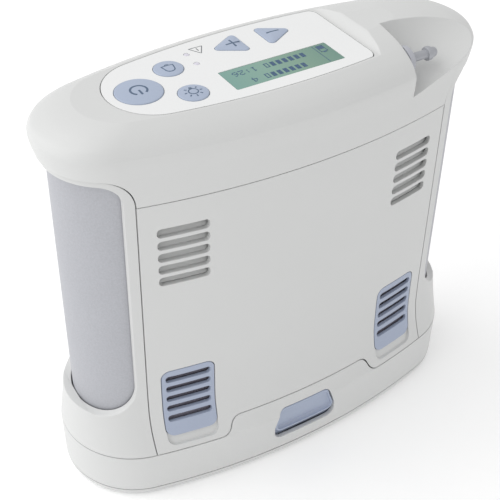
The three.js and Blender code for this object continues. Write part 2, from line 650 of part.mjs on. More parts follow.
function fanRotor() {
  const { x, y, z } = FAN;
  let rotor = bar('y', FAN.hub, [x, y, z], FAN.hubDepth, 20);
  for (let i = 0; i < FAN.blades; i += 1) {
    const blade = new THREE.BoxGeometry(11.4, 7, 1.2);
    blade.rotateX(0.6);
    blade.translate(11.6, 0, 0);
    blade.rotateY((i * Math.PI * 2) / FAN.blades);
    blade.translate(x, y, z);
    rotor = rotor.add(solid(blade));
  }
  return rotor.subtract(bar('y', FAN.pin + 0.1, [x, y, z], 20, 12));
}

function fanFrame() {
  const { x, y, z, half } = FAN;
  const back = y + FAN.back;
  const frame = prismY(roundedRect(x - half, x + half, z - half, z + half, 3), y - FAN.front, back, 3);
  const duct = bar('y', half - 1.8, [x, y - 1.5, z], 14, 20);
  const outlet = bar('y', half - 3, [x, y, z], 30, 20).subtract(bar('y', FAN.hub + 1, [x, y, z], 32, 12));
  const spokes = union(block(x - half + 1, x + half - 1, back - 2.4, back, z - 1.5, z + 1.5),
    block(x - 1.5, x + 1.5, back - 2.4, back, z - half + 1, z + half - 1));
  const pin = bar('y', FAN.pin, [x, y + 0.6, z], 11, 12);
  return union(cut(frame, duct, outlet), spokes, pin);
}

function outletTube() {
  const route = new THREE.CatmullRomCurve3([
    new THREE.Vector3(NOZZLE.wallX - 5.1, NOZZLE.y, NOZZLE.z),
    new THREE.Vector3(NOZZLE.wallX - 8, NOZZLE.y, NOZZLE.z),
    new THREE.Vector3(34.5, NOZZLE.y, 166),
    new THREE.Vector3(36, -18, 135),
    new THREE.Vector3(36, ACCUMULATOR.y, ACCUMULATOR.z + ACCUMULATOR.radius + FIT),
  ]);
  const section = new THREE.Shape();
  section.absarc(0, 0, TUBE_RADIUS, 0, Math.PI * 2);
  const geometry = new THREE.ExtrudeGeometry(section, { extrudePath: route, steps: 16, curveSegments: 4 });
  return solid(geometry);
}

function chassisTray() {
  const deck = TRAY.z + TRAY.thickness;
  const tray = block(-TRAY.halfX, TRAY.halfX, -TRAY.halfY, TRAY.halfY, TRAY.z, deck);
  return cut(tray, ...[-1, 1].map((side) => bar('z', TRAY.holeRadius, [side * TRAY.holeX, 0, deck], 10, 20)));
}

function compressorMotor() {
  const foot = block(-MOTOR.footX, MOTOR.footX, -MOTOR.footY, MOTOR.footY, TRAY.z + TRAY.thickness + FIT, 45);
  return bar('x', MOTOR.radius, [0, 0, MOTOR.z], MOTOR.length, 28).add(foot);
}

function dcJack() {
  const { x, y, z, length } = JACK;
  const bore = bar('y', JACK.bore, [x, y + 4, z], length, 20);
  return bar('y', JACK.radius, [x, y, z], length, 24).subtract(bore).add(bar('y', JACK.pin, [x, y + 1.1, z], 10, 12));
}

function addWorks() {
  add('chassis_tray', chassisTray(), plastic(0x8d9197, 0.6));
  add('compressor_motor', compressorMotor(), metal(0x7f858c));
  add('compressor_head_left', compressorHead(-1), metal(0xb9bdc2));
  add('compressor_head_right', compressorHead(1), metal(0xb9bdc2));
  add('valve_manifold', block(-MANIFOLD.halfX, MANIFOLD.halfX, MANIFOLD.front, MANIFOLD.back,
    MANIFOLD.bottom, MANIFOLD.top), plastic(0x3a3d42, 0.5));
  SOLENOID.xs.forEach((x, i) => {
    const centre = [x, SOLENOID.y, MANIFOLD.top + GAP + SOLENOID.height / 2];
    add(`solenoid_valve_${i + 1}`, bar('z', SOLENOID.radius, centre, SOLENOID.height, 20), metal(0x8b8f95));
  });
  const tank = bar('x', ACCUMULATOR.radius, [ACCUMULATOR.x, ACCUMULATOR.y, ACCUMULATOR.z], ACCUMULATOR.length, 24);
  add('accumulator', tank, plastic(0xc9ccd0, 0.5));
  add('fan_frame', fanFrame(), plastic(0x1e2023, 0.6));
  add('fan_rotor', fanRotor(), plastic(0x2a2c30, 0.5));
  add('main_board', block(...MAIN_BOARD), plastic(0x1f6b45, 0.5));
  add('oxygen_sensor', block(...OXYGEN_SENSOR), plastic(0xd9dbdd, 0.5));
  add('outlet_tube', outletTube(), plastic(0xd6dcdc, 0.3));
  add('dc_jack', dcJack(), plastic(0x26282c, 0.5));
}

addKeypad();
addNozzle();
addHousing();
addBattery();
addWorks();

export default model;
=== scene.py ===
"""Portable oxygen concentrator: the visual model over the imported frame. Shapes are built in millimetres."""

import math
import re
from bisect import bisect_right

import bmesh
import bpy
from mathutils import Matrix, Vector
from mathutils.bvhtree import BVHTree


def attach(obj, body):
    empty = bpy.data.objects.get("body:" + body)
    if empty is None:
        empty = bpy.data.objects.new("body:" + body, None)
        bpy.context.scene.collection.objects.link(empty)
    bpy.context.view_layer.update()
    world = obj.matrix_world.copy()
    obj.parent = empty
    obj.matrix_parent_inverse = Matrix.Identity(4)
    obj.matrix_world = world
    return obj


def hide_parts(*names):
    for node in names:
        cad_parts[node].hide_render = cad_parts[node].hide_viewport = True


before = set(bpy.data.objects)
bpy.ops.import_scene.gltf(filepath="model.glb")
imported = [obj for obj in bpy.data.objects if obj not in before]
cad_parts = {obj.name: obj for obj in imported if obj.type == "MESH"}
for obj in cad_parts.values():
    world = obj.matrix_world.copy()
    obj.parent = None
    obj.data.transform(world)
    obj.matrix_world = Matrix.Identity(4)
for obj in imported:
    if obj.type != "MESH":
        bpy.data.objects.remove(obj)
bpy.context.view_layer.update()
scene = bpy.context.scene

MM = 0.001
QUARTER = math.pi / 2
WELD_SHARE = 0.9  # a mesh point this close to a rounded edge, in widths, joins the edge
CHAIN_SHARE = 0.8  # and an edge shorter than this along the rounding is closed
STRAY_SHARE = 0.45  # a rounded point further than this off the shape it rounds goes back to it
ROUNDED_FROM = math.radians(28)  # edges sharper than this are rounded
CREASED_FROM = math.radians(32)  # and those still sharper than this are shaded as creases
THROUGH = ("y", -60, 60)  # a prism through the whole depth of the object
DOWN = ("z", 170, 190)  # a prism down through the keypad

# ---------------------------------------------------------------- the part's dimensions, in millimetres
FACE_RADIUS = 300
FACE_STEPS = 40
END_STEPS = 48
GAP = 0.4
FIT = 0.3
BATTERY_TOP = 24.6
HUMP_TOP = 32.3
CAP_SEAM = 151
END_SEAM = 163.5
PANEL_TOP = 180.6
HOOD_TOP = 183.7
PANEL_HALF = 70.3
WALL = 2.2
EDGE = 0.18  # radius of the shells' edges
COLUMN = {"a": 90.6, "b": 32.2, "inner": 66.5, "bottom": 40, "top": 161.6}
OPENING = {"edge": 74.6, "bottom": 45, "top": 161, "low_radius": 17, "high_radius": 8}

# Height, half length and half depth of each outer wall.
BASE_WALL = [(0, 93.6, 37.4), (1.1, 95.6, 39.4), (2.6, 96.5, 40.3), (4.2, 96.8, 40.6)]
BATTERY_WALL = [(4.6, 96.8, 40.6), (24.6, 97, 40.9)]
BODY_WALL = [
    (24.6, 97, 40.9), (30, 96.5, 38.5), (37, 95.7, 36.3), (46, 94.7, 35), (60, 93.3, 34.7), (170, 93, 34.7),
]
CAP_WALL = [
    (151, 93.9, 34.9), (163, 94.2, 35.2), (168, 95.4, 35.7), (171.5, 96, 35.8), (174.6, 94.6, 34.2),
    (177.6, 89.5, 31), (179.6, 83.5, 27.4), (180.6, 79, 25), (182.3, 70, 19), (183.7, 58, 11),
]
OVERLAY = {"a": 67, "b": 23.8, "right": 35.9, "corner": 5.5, "thickness": 1.4}
CEILING = PANEL_TOP - OVERLAY["thickness"] - 1.4  # inside of the cap's top
ROUND_KEYS = {"power": (-54.5, -0.8, 9), "alert": (-37.5, 8.5, 5.75), "light": (-38, -11.3, 5.75)}
ARROW_KEYS = {"plus": (-7.6, 12.7, -1), "minus": (10.4, 12.7, 1)}
KEYS = [*ROUND_KEYS, *ARROW_KEYS]
ARROW = {"reach": 7.4, "corner": 1.6}
KEY_TOP = PANEL_TOP + 0.3
KEY_DOME = 0.45
LED = {"radius": 1.1, "x": -26.4, "ys": (14.7, 6.8)}
LCD = {"x": 0.5, "y": -10.4, "length": 47.4, "depth": 14}
NOZZLE = {"wall": 48.5, "y": -22, "z": 174.5, "collar": 5.8, "depth": 2.4, "bore": 2.3}
SCOOP = {"y": -33, "z": 186, "half_y": 27, "half_z": 23, "rise": 0.2}
LOUVRE = {"inner": 43.2, "outer": 63.3, "top": 139.4, "pitch": 5.72, "height": 4, "count": 5, "radius": 1.6}
FILTER = {"inner": 42, "outer": 64.4, "top": 66.6, "bottom": 31.4, "radius": 3.6, "thickness": 1.7}
FILTER_SLOT = {"length": 19, "height": 3.2, "pitch": 5.5, "first": 61.9, "count": 5, "radius": 1.3}
FINGER_SCOOP = {"bottom": 27.2, "depth": 1.3}
LATCH = {"half_top": 13.5, "half_bottom": 15.6, "top": 27.4, "bottom": 14.6, "corner": 3.4, "travel": 3.5}
HUMP = {"crown": 31, "foot": 41.5, "middle": 36.2}
JACK = {"x": -18, "z": 52, "radius": 5}
SCREWS = [(-80, 0), (80, 0), (-8, -33.6), (8, 33.6)]
SIDES = {"left": -1, "right": 1}
FACES = {"front": -1, "rear": 1}


# ---------------------------------------------------------------- curves and outlines
def monotone(xs, ys):
    """A smooth curve through the points that never overshoots them."""
    steps = [b - a for a, b in zip(xs, xs[1:])]
    rises = [(b - a) / h for a, b, h in zip(ys, ys[1:], steps)]
    slopes = [rises[0]]
    for h0, h1, d0, d1 in zip(steps, steps[1:], rises, rises[1:]):
        w0, w1 = 2 * h1 + h0, h1 + 2 * h0
        slopes.append(0.0 if d0 * d1 <= 0 else (w0 + w1) / (w0 / d0 + w1 / d1))
    slopes.append(rises[-1])

    def at(x):
        x = min(max(x, xs[0]), xs[-1])
        i = min(bisect_right(xs, x) - 1, len(xs) - 2)
        h = steps[i]
        t = (x - xs[i]) / h
        rise = t * t * (3 - 2 * t)
        start = t * (1 - t) ** 2 * h * slopes[i]
        end = t * t * (t - 1) * h * slopes[i + 1]
        return ys[i] + rise * (ys[i + 1] - ys[i]) + start + end

    return at


def levels(low, high, step):
    count = max(1, round((high - low) / step))
    return [low + (high - low) * i / count for i in range(count + 1)]


def rings(table, heights):
    """(z, a, b) on the smooth wall through a table, at each height."""
    zs = [row[0] for row in table]
    a_at = monotone(zs, [row[1] for row in table])
    b_at = monotone(zs, [row[2] for row in table])
    return [(z, a_at(z), b_at(z)) for z in heights]


def arc(cx, cy, radius, start, end, steps=12):
    angles = [start + (end - start) * i / steps for i in range(steps + 1)]
    return [(cx + radius * math.cos(t), cy + radius * math.sin(t)) for t in angles]


def oval(a, b):
    """Four tangent arcs: two long face arcs and two end arcs."""
    end_radius = (2 * FACE_RADIUS * b - b * b - a * a) / (2 * (FACE_RADIUS - a))
    end_x = a - end_radius
    face_y = FACE_RADIUS - b
    turn = math.atan2(end_x, face_y)
    points = []
    for side, turns in ((1, 1), (-1, 3)):
        middle, last = turns * QUARTER, (turns + 2) * QUARTER - turn
        points += arc(0, -side * face_y, FACE_RADIUS, middle - turn, middle + turn, FACE_STEPS)[:-1]
        points += arc(-side * end_x, 0, end_radius, middle + turn, last, END_STEPS)[:-1]
    return points


def rounded_rect(x0, x1, y0, y1, radius, steps=8):
    left, right, low, high = x0 + radius, x1 - radius, y0 + radius, y1 - radius
    points = []
    for i, (cx, cy) in enumerate(((right, low), (right, high), (left, high), (left, low)), -1):
        points += arc(cx, cy, radius, i * QUARTER, (i + 1) * QUARTER, steps)
    return points


def bend(start, control, end, steps=10):
    """A quadratic curve between two points."""
    points = []
    for i in range(steps + 1):
        t = i / steps
        points.append(tuple(
            (1 - t) ** 2 * p + 2 * t * (1 - t) * q + t * t * r for p, q, r in zip(start, control, end)))
    return points


def mirrored(points, side):
    return points if side > 0 else [(-x, y) for x, y in points]


def hump_outline(grow):
    """The battery rail's section: a flat crown with an S-shaped shoulder on each side."""
    top = HUMP_TOP + grow
    base = BATTERY_TOP + grow
    middle = HUMP["middle"] + grow
    swing = (middle, (top + base) / 2)
    right = [(HUMP["foot"] + grow, BATTERY_TOP - 4)]
    right += bend((HUMP["foot"] + grow, base), (middle + 1.4, base), swing)
    right += bend(swing, (middle - 1.4, top), (HUMP["crown"] + grow, top))[1:]
    return right + [(-x, z) for x, z in reversed(right)]


def end_region(side, grow):
    """The region outboard of a panel and below the cap."""
    radius = 12 + GAP / 2 - grow
    inner = PANEL_HALF + grow
    top = END_SEAM - grow
    low = BATTERY_TOP + GAP - (10 if grow < 0 else 0)
    points = [(120, low), (120, top)]
    points += arc(inner + radius, top - radius, radius, QUARTER, 2 * QUARTER, 20)
    return mirrored(points + [(inner, low)], side)


def opening_outline(side):
    edge, low, high = OPENING["edge"], OPENING["low_radius"], OPENING["high_radius"]
    points = [(120, OPENING["bottom"]), (120, OPENING["top"])]
    points += arc(edge + high, OPENING["top"] - high, high, QUARTER, 2 * QUARTER, 16)
    points += arc(edge + low, OPENING["bottom"] + low, low, 2 * QUARTER, 3 * QUARTER, 24)
    return mirrored(points, side)


def latch_outline(grow):
    radius = LATCH["corner"] + grow
    high = LATCH["top"] - LATCH["corner"]
    low = LATCH["bottom"] + LATCH["corner"]
    top_x = LATCH["half_top"] - LATCH["corner"]
    low_x = LATCH["half_bottom"] - LATCH["corner"]
    points = arc(top_x, high, radius, 0, QUARTER)
    points += arc(-top_x, high, radius, QUARTER, 2 * QUARTER)
    points += arc(-low_x, low, radius, 2 * QUARTER, 3 * QUARTER)
    return points + arc(low_x, low, radius, -QUARTER, 0)


def hull(points):
    """The convex outline around flat points, anticlockwise."""
    ordered = sorted(set(points))

    def chain(run):
        kept = []
        for x, y in run:
            while len(kept) > 1:
                (x0, y0), (x1, y1) = kept[-2:]
                if (x1 - x0) * (y - y0) - (y1 - y0) * (x - x0) > 1e-9:
                    break
                kept.pop()
            kept.append((x, y))
        return kept[:-1]

    return chain(ordered) + chain(ordered[::-1])


def filter_outline(side, grow):
    return mirrored(rounded_rect(FILTER["inner"] - grow, FILTER["outer"] + grow, FILTER["bottom"] - grow,
                                 FILTER["top"] + grow, FILTER["radius"] + grow), side)


def round_outline(x, y, radius, steps=64):
    return arc(x, y, radius, 0, 2 * math.pi, steps)[:-1]


def arrow_outline(x, y, points_to, grow):
    """A triangle with rounded corners, pointing along X."""
    corner = ARROW["corner"] + grow
    turn = 0 if points_to > 0 else math.pi
    points = []
    for i in range(3):
        angle = turn + i * 2 * math.pi / 3
        cx = x + (ARROW["reach"] - ARROW["corner"]) * math.cos(angle)
        cy = y + (ARROW["reach"] - ARROW["corner"]) * math.sin(angle)
        points += arc(cx, cy, corner, angle - math.pi / 3, angle + math.pi / 3, 10)
    return points


def key_outline(name, grow):
    if name in ROUND_KEYS:
        x, y, radius = ROUND_KEYS[name]
        return round_outline(x, y, radius + grow)
    return arrow_outline(*ARROW_KEYS[name], grow)


def key_centre(name):
    return (ROUND_KEYS.get(name) or ARROW_KEYS[name])[:2]


# ---------------------------------------------------------------- solids
def solid(name, vertices, faces):
    mesh = bpy.data.meshes.new(name)
    mesh.from_pydata(vertices, [], faces)
    work = bmesh.new()
    work.from_mesh(mesh)
    bmesh.ops.recalc_face_normals(work, faces=work.faces)
    work.to_mesh(mesh)
    work.free()
    piece = bpy.data.objects.new(name, mesh)
    scene.collection.objects.link(piece)
    return piece


def stack(name, outlines):
    """A closed solid through outlines of equally many points, each a list of (x, y, z)."""
    count = len(outlines[0])
    vertices = [p for outline in outlines for p in outline]
    faces = []
    for level in range(len(outlines) - 1):
        for i in range(count):
            j = (i + 1) % count
            low = level * count
            faces.append((low + i, low + j, low + count + j, low + count + i))
    last = (len(outlines) - 1) * count
    faces.append(tuple(range(count)))
    faces.append(tuple(range(last, last + count)))
    return solid(name, vertices, faces)


def strip(corners, closed=False):
    """A bar of four-cornered sections, with the points of all its sections in one list."""
    total = len(corners) // 4
    faces = []
    for i in range(total if closed else total - 1):
        low, high = 4 * i, 4 * ((i + 1) % total)
        for k in range(4):
            m = (k + 1) % 4
            faces.append((low + k, low + m, high + m, high + k))
    if not closed:
        faces += [(3, 2, 1, 0), tuple(4 * (total - 1) + k for k in range(4))]
    return solid("strip", corners, faces)


def loft(name, wall, inset=0.0):
    return stack(name, [[(x, y, z) for x, y in oval(a - inset, b - inset)] for z, a, b in wall])


def prism(name, outline, axis, low, high):
    """An outline drawn out along "y" or "z"."""

    def lay(value):
        return [(u, v, value) if axis == "z" else (u, value, v) for u, v in outline]

    return stack(name, [lay(low), lay(high)])


def block(name, x0, x1, y0, y1, z0, z1):
    return prism(name, [(x0, y0), (x1, y0), (x1, y1), (x0, y1)], "z", z0, z1)


def lathe(name, profile, axis, centre, steps=48):
    """A solid of revolution: profile is (radius, distance along the axis)."""
    outlines = []
    for radius, along in profile:
        points = []
        for i in range(steps):
            angle = i * 2 * math.pi / steps
            u, v = radius * math.cos(angle), radius * math.sin(angle)
            offset = {"x": (along, u, v), "y": (u, along, v), "z": (u, v, along)}[axis]
            points.append(tuple(c + d for c, d in zip(centre, offset)))
        outlines.append(points)
    return stack(name, outlines)


def bar(name, axis, radius, centre, length, steps=48):
    return lathe(name, [(radius, -length / 2), (radius, length / 2)], axis, centre, steps)


def apply_modifiers(piece):
    graph = bpy.context.evaluated_depsgraph_get()
    mesh = bpy.data.meshes.new_from_object(piece.evaluated_get(graph))
    piece.modifiers.clear()
    old = piece.data
    piece.data = mesh
    bpy.data.meshes.remove(old)


def combine(piece, operation, tools):
    for tool in tools:
        modifier = piece.modifiers.new("combine", "BOOLEAN")
        modifier.operation = operation
        modifier.solver = "MANIFOLD"
        modifier.object = tool
        apply_modifiers(piece)
        bpy.data.objects.remove(tool)
    return piece


def cut(piece, *tools):
    return combine(piece, "DIFFERENCE", tools)


def meet(piece, *tools):
    return combine(piece, "INTERSECT", tools)


def fuse(piece, *tools):
    return combine(piece, "UNION", tools)


def sharp_chain(work, width_at):
    """Sets each sharp edge's weight to its radius, and gives every point on one its largest radius."""
    layers = work.edges.layers.float
    weights = layers.get("bevel_weight_edge") or layers.new("bevel_weight_edge")
    chain = {}
    for edge in work.edges:
        edge[weights] = 0
        if len(edge.link_faces) == 2 and edge.calc_face_angle(0) > ROUNDED_FROM:
            edge[weights] = width_at((edge.verts[0].co + edge.verts[1].co) / 2)
            for vertex in edge.verts:
                chain[vertex] = max(edge[weights], chain.get(vertex, 0))
    return weights, chain


def weld_beside(work, chain):
    """Joins points right beside a rounded edge to it."""
    welds = {}
    for vertex, wanted in chain.items():
        for edge in vertex.link_edges:
            other = edge.other_vert(vertex)
            length = edge.calc_length()
            if other not in chain and length < WELD_SHARE * wanted:
                if other not in welds or (welds[other].co - other.co).length > length:
                    welds[other] = vertex
    bmesh.ops.weld_verts(work, targetmap=welds)


def close_short(work, weights, chain):
    """Closes edges along the rounding that are short against its radius."""
    degree = {v: sum(1 for e in v.link_edges if e[weights] > 0) for v in chain}
    merged, kept = {}, set()
    for edge in sorted(work.edges, key=lambda e: e.calc_length()):
        first, second = edge.verts
        if edge[weights] == 0 or edge.calc_length() > CHAIN_SHARE * edge[weights]:
            continue
        if first in merged or second in merged or first in kept or second in kept:
            continue
        if degree[first] != 2:
            first, second = second, first
        if degree[first] == 2:
            merged[first] = second
            kept.add(second)
    bmesh.ops.weld_verts(work, targetmap=merged)


def soften(piece, width, segments=2):
    """Rounds the sharp edges. width is a radius, or a function that gives it at an edge's midpoint."""
    width_at = width if callable(width) else lambda point: width
    work = bmesh.new()
    work.from_mesh(piece.data)
    bmesh.ops.remove_doubles(work, verts=work.verts, dist=0.012)
    weld_beside(work, sharp_chain(work, width_at)[1])
    close_short(work, *sharp_chain(work, width_at))
    weights, _ = sharp_chain(work, width_at)
    widest = max([e[weights] for e in work.edges] + [0.001])
    for edge in work.edges:
        edge[weights] /= widest
    before = BVHTree.FromBMesh(work)
    work.to_mesh(piece.data)
    work.free()
    modifier = piece.modifiers.new("round", "BEVEL")
    modifier.limit_method = "WEIGHT"
    modifier.width = widest
    modifier.segments = segments
    modifier.loop_slide = False
    modifier.use_clamp_overlap = False
    apply_modifiers(piece)
    for vertex in piece.data.vertices:
        nearest, _, _, distance = before.find_nearest(vertex.co)
        if distance > STRAY_SHARE * widest:
            vertex.co = nearest
    return piece


def smooth_shade(piece):
    piece.data.shade_smooth()
    piece.data.set_sharp_from_angle(angle=CREASED_FROM)
    modifier = piece.modifiers.new("normals", "WEIGHTED_NORMAL")
    modifier.keep_sharp = True
    modifier.weight = 60
    apply_modifiers(piece)


def place(piece, body, slot_name, material, *nodes):
    """Puts a finished piece into the frame: metres, material, body and the CAD nodes that it stands for."""
    piece.data.transform(Matrix.Scale(MM, 4))
    smooth_shade(piece)
    piece.data.materials.clear()
    piece.data.materials.append(material)
    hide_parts(*nodes)
    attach(piece, body)


def joined(name, pieces):
    """Several closed bodies as one object."""
    vertices, faces = [], []
    for piece in pieces:
        start = len(vertices)
        vertices += [tuple(v.co) for v in piece.data.vertices]
        faces += [tuple(start + i for i in face.vertices) for face in piece.data.polygons]
        bpy.data.objects.remove(piece)
    mesh = bpy.data.meshes.new(name)
    mesh.from_pydata(vertices, [], faces)
    whole = bpy.data.objects.new(name, mesh)
    scene.collection.objects.link(whole)
    return whole


# ---------------------------------------------------------------- materials
def node(material, kind, **values):
    made = material.node_tree.nodes.new(kind)
    for key, value in values.items():
        if key in made.inputs:
            made.inputs[key].default_value = value
        else:
            setattr(made, key, value)
    return made


def link(material, source, target):
    material.node_tree.links.new(source, target)


def surface(name, **values):
    material = bpy.data.materials.new(name)
    material.use_nodes = True
    shader = material.node_tree.nodes["Principled BSDF"]
    for key, value in values.items():
        shader.inputs[key.replace("_", " ")].default_value = value
    return material, shader


def tinted(colour, factor):
    return tuple(min(1.0, c * factor) for c in colour) + (1.0,)


def colour_ramp(material, source, tones):
    """A colour looked up from a value. tones holds (position, colour) pairs."""
    ramp = node(material, "ShaderNodeValToRGB")
    elements = ramp.color_ramp.elements
    while len(elements) < len(tones):
        elements.new(0.5)
    for element, (position, colour) in zip(elements, tones):
        element.position = position
        element.color = colour
    link(material, source, ramp.inputs["Fac"])
    return ramp.outputs["Color"]


def value_range(material, source, low, high, start=0.0, end=1.0):
    """A value carried from start..end to low..high."""
    mapped = node(material, "ShaderNodeMapRange")
    for name, value in (("From Min", start), ("From Max", end), ("To Min", low), ("To Max", high)):
        mapped.inputs[name].default_value = value
    link(material, source, mapped.inputs["Value"])
    return mapped.outputs["Result"]


def scaled(material, colour, factor):
    mix = node(material, "ShaderNodeVectorMath", operation="SCALE")
    link(material, colour, mix.inputs[0])
    link(material, factor, mix.inputs["Scale"])
    return mix.outputs["Vector"]


def grained(name, colour, roughness, grain=2600, bump=0.12, variation=0.02, speckle=0.0, **values):
    """Moulded plastic or painted metal: fine grain in the bump, slow drift in colour and gloss."""
    material, shader = surface(name, **values)
    place_at = node(material, "ShaderNodeTexCoord").outputs["Object"]
    fine = node(material, "ShaderNodeTexNoise", Scale=grain, Detail=3.0, Roughness=0.6)
    slow = node(material, "ShaderNodeTexNoise", Scale=26.0, Detail=4.0, Roughness=0.55)
    for noise in (fine, slow):
        link(material, place_at, noise.inputs["Vector"])
    tones = [(0.3, tinted(colour, 1 - variation)), (0.7, tinted(colour, 1 + variation))]
    tone = colour_ramp(material, slow.outputs["Fac"], tones)
    dots = value_range(material, fine.outputs["Fac"], 1 - speckle, 1 + speckle, 0.35, 0.65)
    link(material, scaled(material, tone, dots), shader.inputs["Base Color"])
    gloss = value_range(material, slow.outputs["Fac"], roughness - 0.05, roughness + 0.05)
    link(material, gloss, shader.inputs["Roughness"])
    height = node(material, "ShaderNodeBump", Strength=bump, Distance=0.00006)
    link(material, fine.outputs["Fac"], height.inputs["Height"])
    link(material, height.outputs["Normal"], shader.inputs["Normal"])
    return material


def brushed(name, colour, roughness):
    """Machined metal with fine turning lines."""
    material, shader = surface(name, Metallic=0.85)
    place_at = node(material, "ShaderNodeTexCoord").outputs["Object"]
    stretch = node(material, "ShaderNodeMapping")
    stretch.inputs["Scale"].default_value = (4000, 300, 300)
    lines = node(material, "ShaderNodeTexNoise", Scale=1.0, Detail=2.0)
    link(material, place_at, stretch.inputs["Vector"])
    link(material, stretch.outputs["Vector"], lines.inputs["Vector"])
    tones = [(0.0, tinted(colour, 0.85)), (1.0, tinted(colour, 1.12))]
    tone = colour_ramp(material, lines.outputs["Fac"], tones)
    link(material, tone, shader.inputs["Base Color"])
    gloss = value_range(material, lines.outputs["Fac"], roughness - 0.08, roughness + 0.08)
    link(material, gloss, shader.inputs["Roughness"])
    return material


def display_glass(name):
    """Back-lit green display: a gradient across the glass with faint pixel rows."""
    material, shader = surface(name, Roughness=0.16, Coat_Weight=0.4, Coat_Roughness=0.08,
                               Emission_Strength=0.12)
    place_at = node(material, "ShaderNodeTexCoord").outputs["Object"]
    parts = node(material, "ShaderNodeSeparateXYZ")
    link(material, place_at, parts.inputs["Vector"])
    left, right = ((LCD["x"] + end * LCD["length"] / 2) * MM for end in (-1, 1))
    across = value_range(material, parts.outputs["X"], 0.0, 1.0, left, right)
    shades = [
        (0.0, (0.14, 0.29, 0.25, 1.0)), (0.35, (0.17, 0.31, 0.25, 1.0)),
        (0.65, (0.15, 0.27, 0.2, 1.0)), (1.0, (0.095, 0.21, 0.165, 1.0)),
    ]
    tone = colour_ramp(material, across, shades)
    rows = node(material, "ShaderNodeTexWave", bands_direction="Y", Scale=420.0)
    link(material, place_at, rows.inputs["Vector"])
    faint = value_range(material, rows.outputs["Fac"], 0.95, 1.03)
    glow = scaled(material, tone, faint)
    for socket in ("Base Color", "Emission Color"):
        link(material, glow, shader.inputs[socket])
    return material


SHELL = grained("shell", (0.64, 0.645, 0.64), 0.42, bump=0.1, variation=0.008)
OVERLAY_FILM = grained("overlay", (0.8, 0.805, 0.805), 0.36, grain=3600, bump=0.05, variation=0.006)
ACCENT = grained("accent", (0.375, 0.425, 0.54), 0.4)
KEY_RUBBER = grained("key", (0.385, 0.445, 0.565), 0.46, grain=3200, bump=0.1)
COLUMN_COAT = grained("column", (0.43, 0.437, 0.468), 0.5, grain=1500, bump=0.35, speckle=0.05,
                      Metallic=0.15)
WEAVE = grained("filter_mesh", (0.16, 0.15, 0.185), 0.7, grain=4200, bump=0.4, variation=0.15)
INK = grained("ink", (0.08, 0.125, 0.2), 0.5, grain=4000, bump=0.05, variation=0.05)
INK_GREY = grained("ink_grey", (0.16, 0.17, 0.18), 0.5, grain=4000, bump=0.05, variation=0.05)
DISPLAY = display_glass("display")
DISPLAY_INK = grained("display_ink", (0.035, 0.09, 0.18), 0.3, grain=3000, bump=0.03, variation=0.05)
LIGHT_PIPE = grained("light_pipe", (0.66, 0.64, 0.72), 0.22, grain=3000, bump=0.04)
DARK = grained("dark_plastic", (0.03, 0.032, 0.036), 0.5, variation=0.1)
MID = grained("mid_plastic", (0.23, 0.245, 0.27), 0.55, variation=0.05)
PALE = grained("pale_plastic", (0.6, 0.62, 0.64), 0.45, variation=0.03)
COLLAR = grained("collar", (0.43, 0.44, 0.48), 0.35, grain=3400, bump=0.06)
CELL_WRAP = grained("cell_wrap", (0.035, 0.15, 0.42), 0.3, grain=3000, bump=0.05, variation=0.05)
BOARD = grained("circuit_board", (0.02, 0.16, 0.07), 0.4, grain=900, bump=0.3, variation=0.15, speckle=0.2)
CAST = grained("cast_metal", (0.42, 0.43, 0.45), 0.45, grain=1800, bump=0.35, variation=0.05, Metallic=0.8)
NOZZLE_METAL = grained("nozzle", (0.4, 0.41, 0.44), 0.42, grain=3600, bump=0.08, variation=0.03,
                       Metallic=0.35)
MOTOR = brushed("motor_steel", (0.32, 0.34, 0.37), 0.4)
STEEL = brushed("screw_steel", (0.55, 0.56, 0.57), 0.3)
FLOOR = grained("floor", (0.93, 0.93, 0.93), 0.8, grain=60, bump=0.02, variation=0.004,
                Emission_Strength=0.14)


# ---------------------------------------------------------------- top cap and keypad
def overlay_solid(name, low, high, inset):
    wall = [(z, OVERLAY["a"], OVERLAY["b"]) for z in (low, high)]
    half = OVERLAY["b"] - 0.7 - inset
    outline = rounded_rect(-90, OVERLAY["right"] - inset, -half, half, OVERLAY["corner"], 14)
    frame_part = prism("frame", outline, "z", low - 1, high + 1)
    left = block("left", -95, 19, -40, 40, low - 1, high + 1)
    return meet(loft(name, wall, inset), fuse(frame_part, left))


def display_edges(grow):
    """The display's left, right, front and back edges."""
    half_x, half_y = LCD["length"] / 2 + grow, LCD["depth"] / 2 + grow
    return LCD["x"] - half_x, LCD["x"] + half_x, LCD["y"] - half_y, LCD["y"] + half_y


def scoop_tool(grow):
    start = NOZZLE["wall"] - grow
    section = [((SCOOP["half_y"] + grow) * math.cos(t), (SCOOP["half_z"] + grow) * math.sin(t))
               for t in [i * 2 * math.pi / 144 for i in range(144)]]
    ends = [[(start + run, SCOOP["y"] + y, SCOOP["z"] + SCOOP["rise"] * run + z) for y, z in section]
            for run in (0, 80)]
    return stack("scoop", ends)


def step_tool():
    """What lies above the keypad's face, up to the soft ramp in front of the hood."""
    start, run = OVERLAY["right"] + 0.7, 5.4
    ramp = []
    for i in range(17):
        t = i / 16
        ramp.append((start + run * t, PANEL_TOP + (HOOD_TOP + 0.15 - PANEL_TOP) * t * t * (3 - 2 * t)))
    return prism("step", [(-120, PANEL_TOP)] + ramp + [(start + run, 200), (-120, 200)], *THROUGH)


def keypad_holes(piece, key_gap, light_gap, light_steps):
    for name in KEYS:
        cut(piece, prism("key_hole", key_outline(name, key_gap), *DOWN))
    for y in LED["ys"]:
        cut(piece, bar("led_hole", "z", LED["radius"] + light_gap, (LED["x"], y, PANEL_TOP), 12, light_steps))


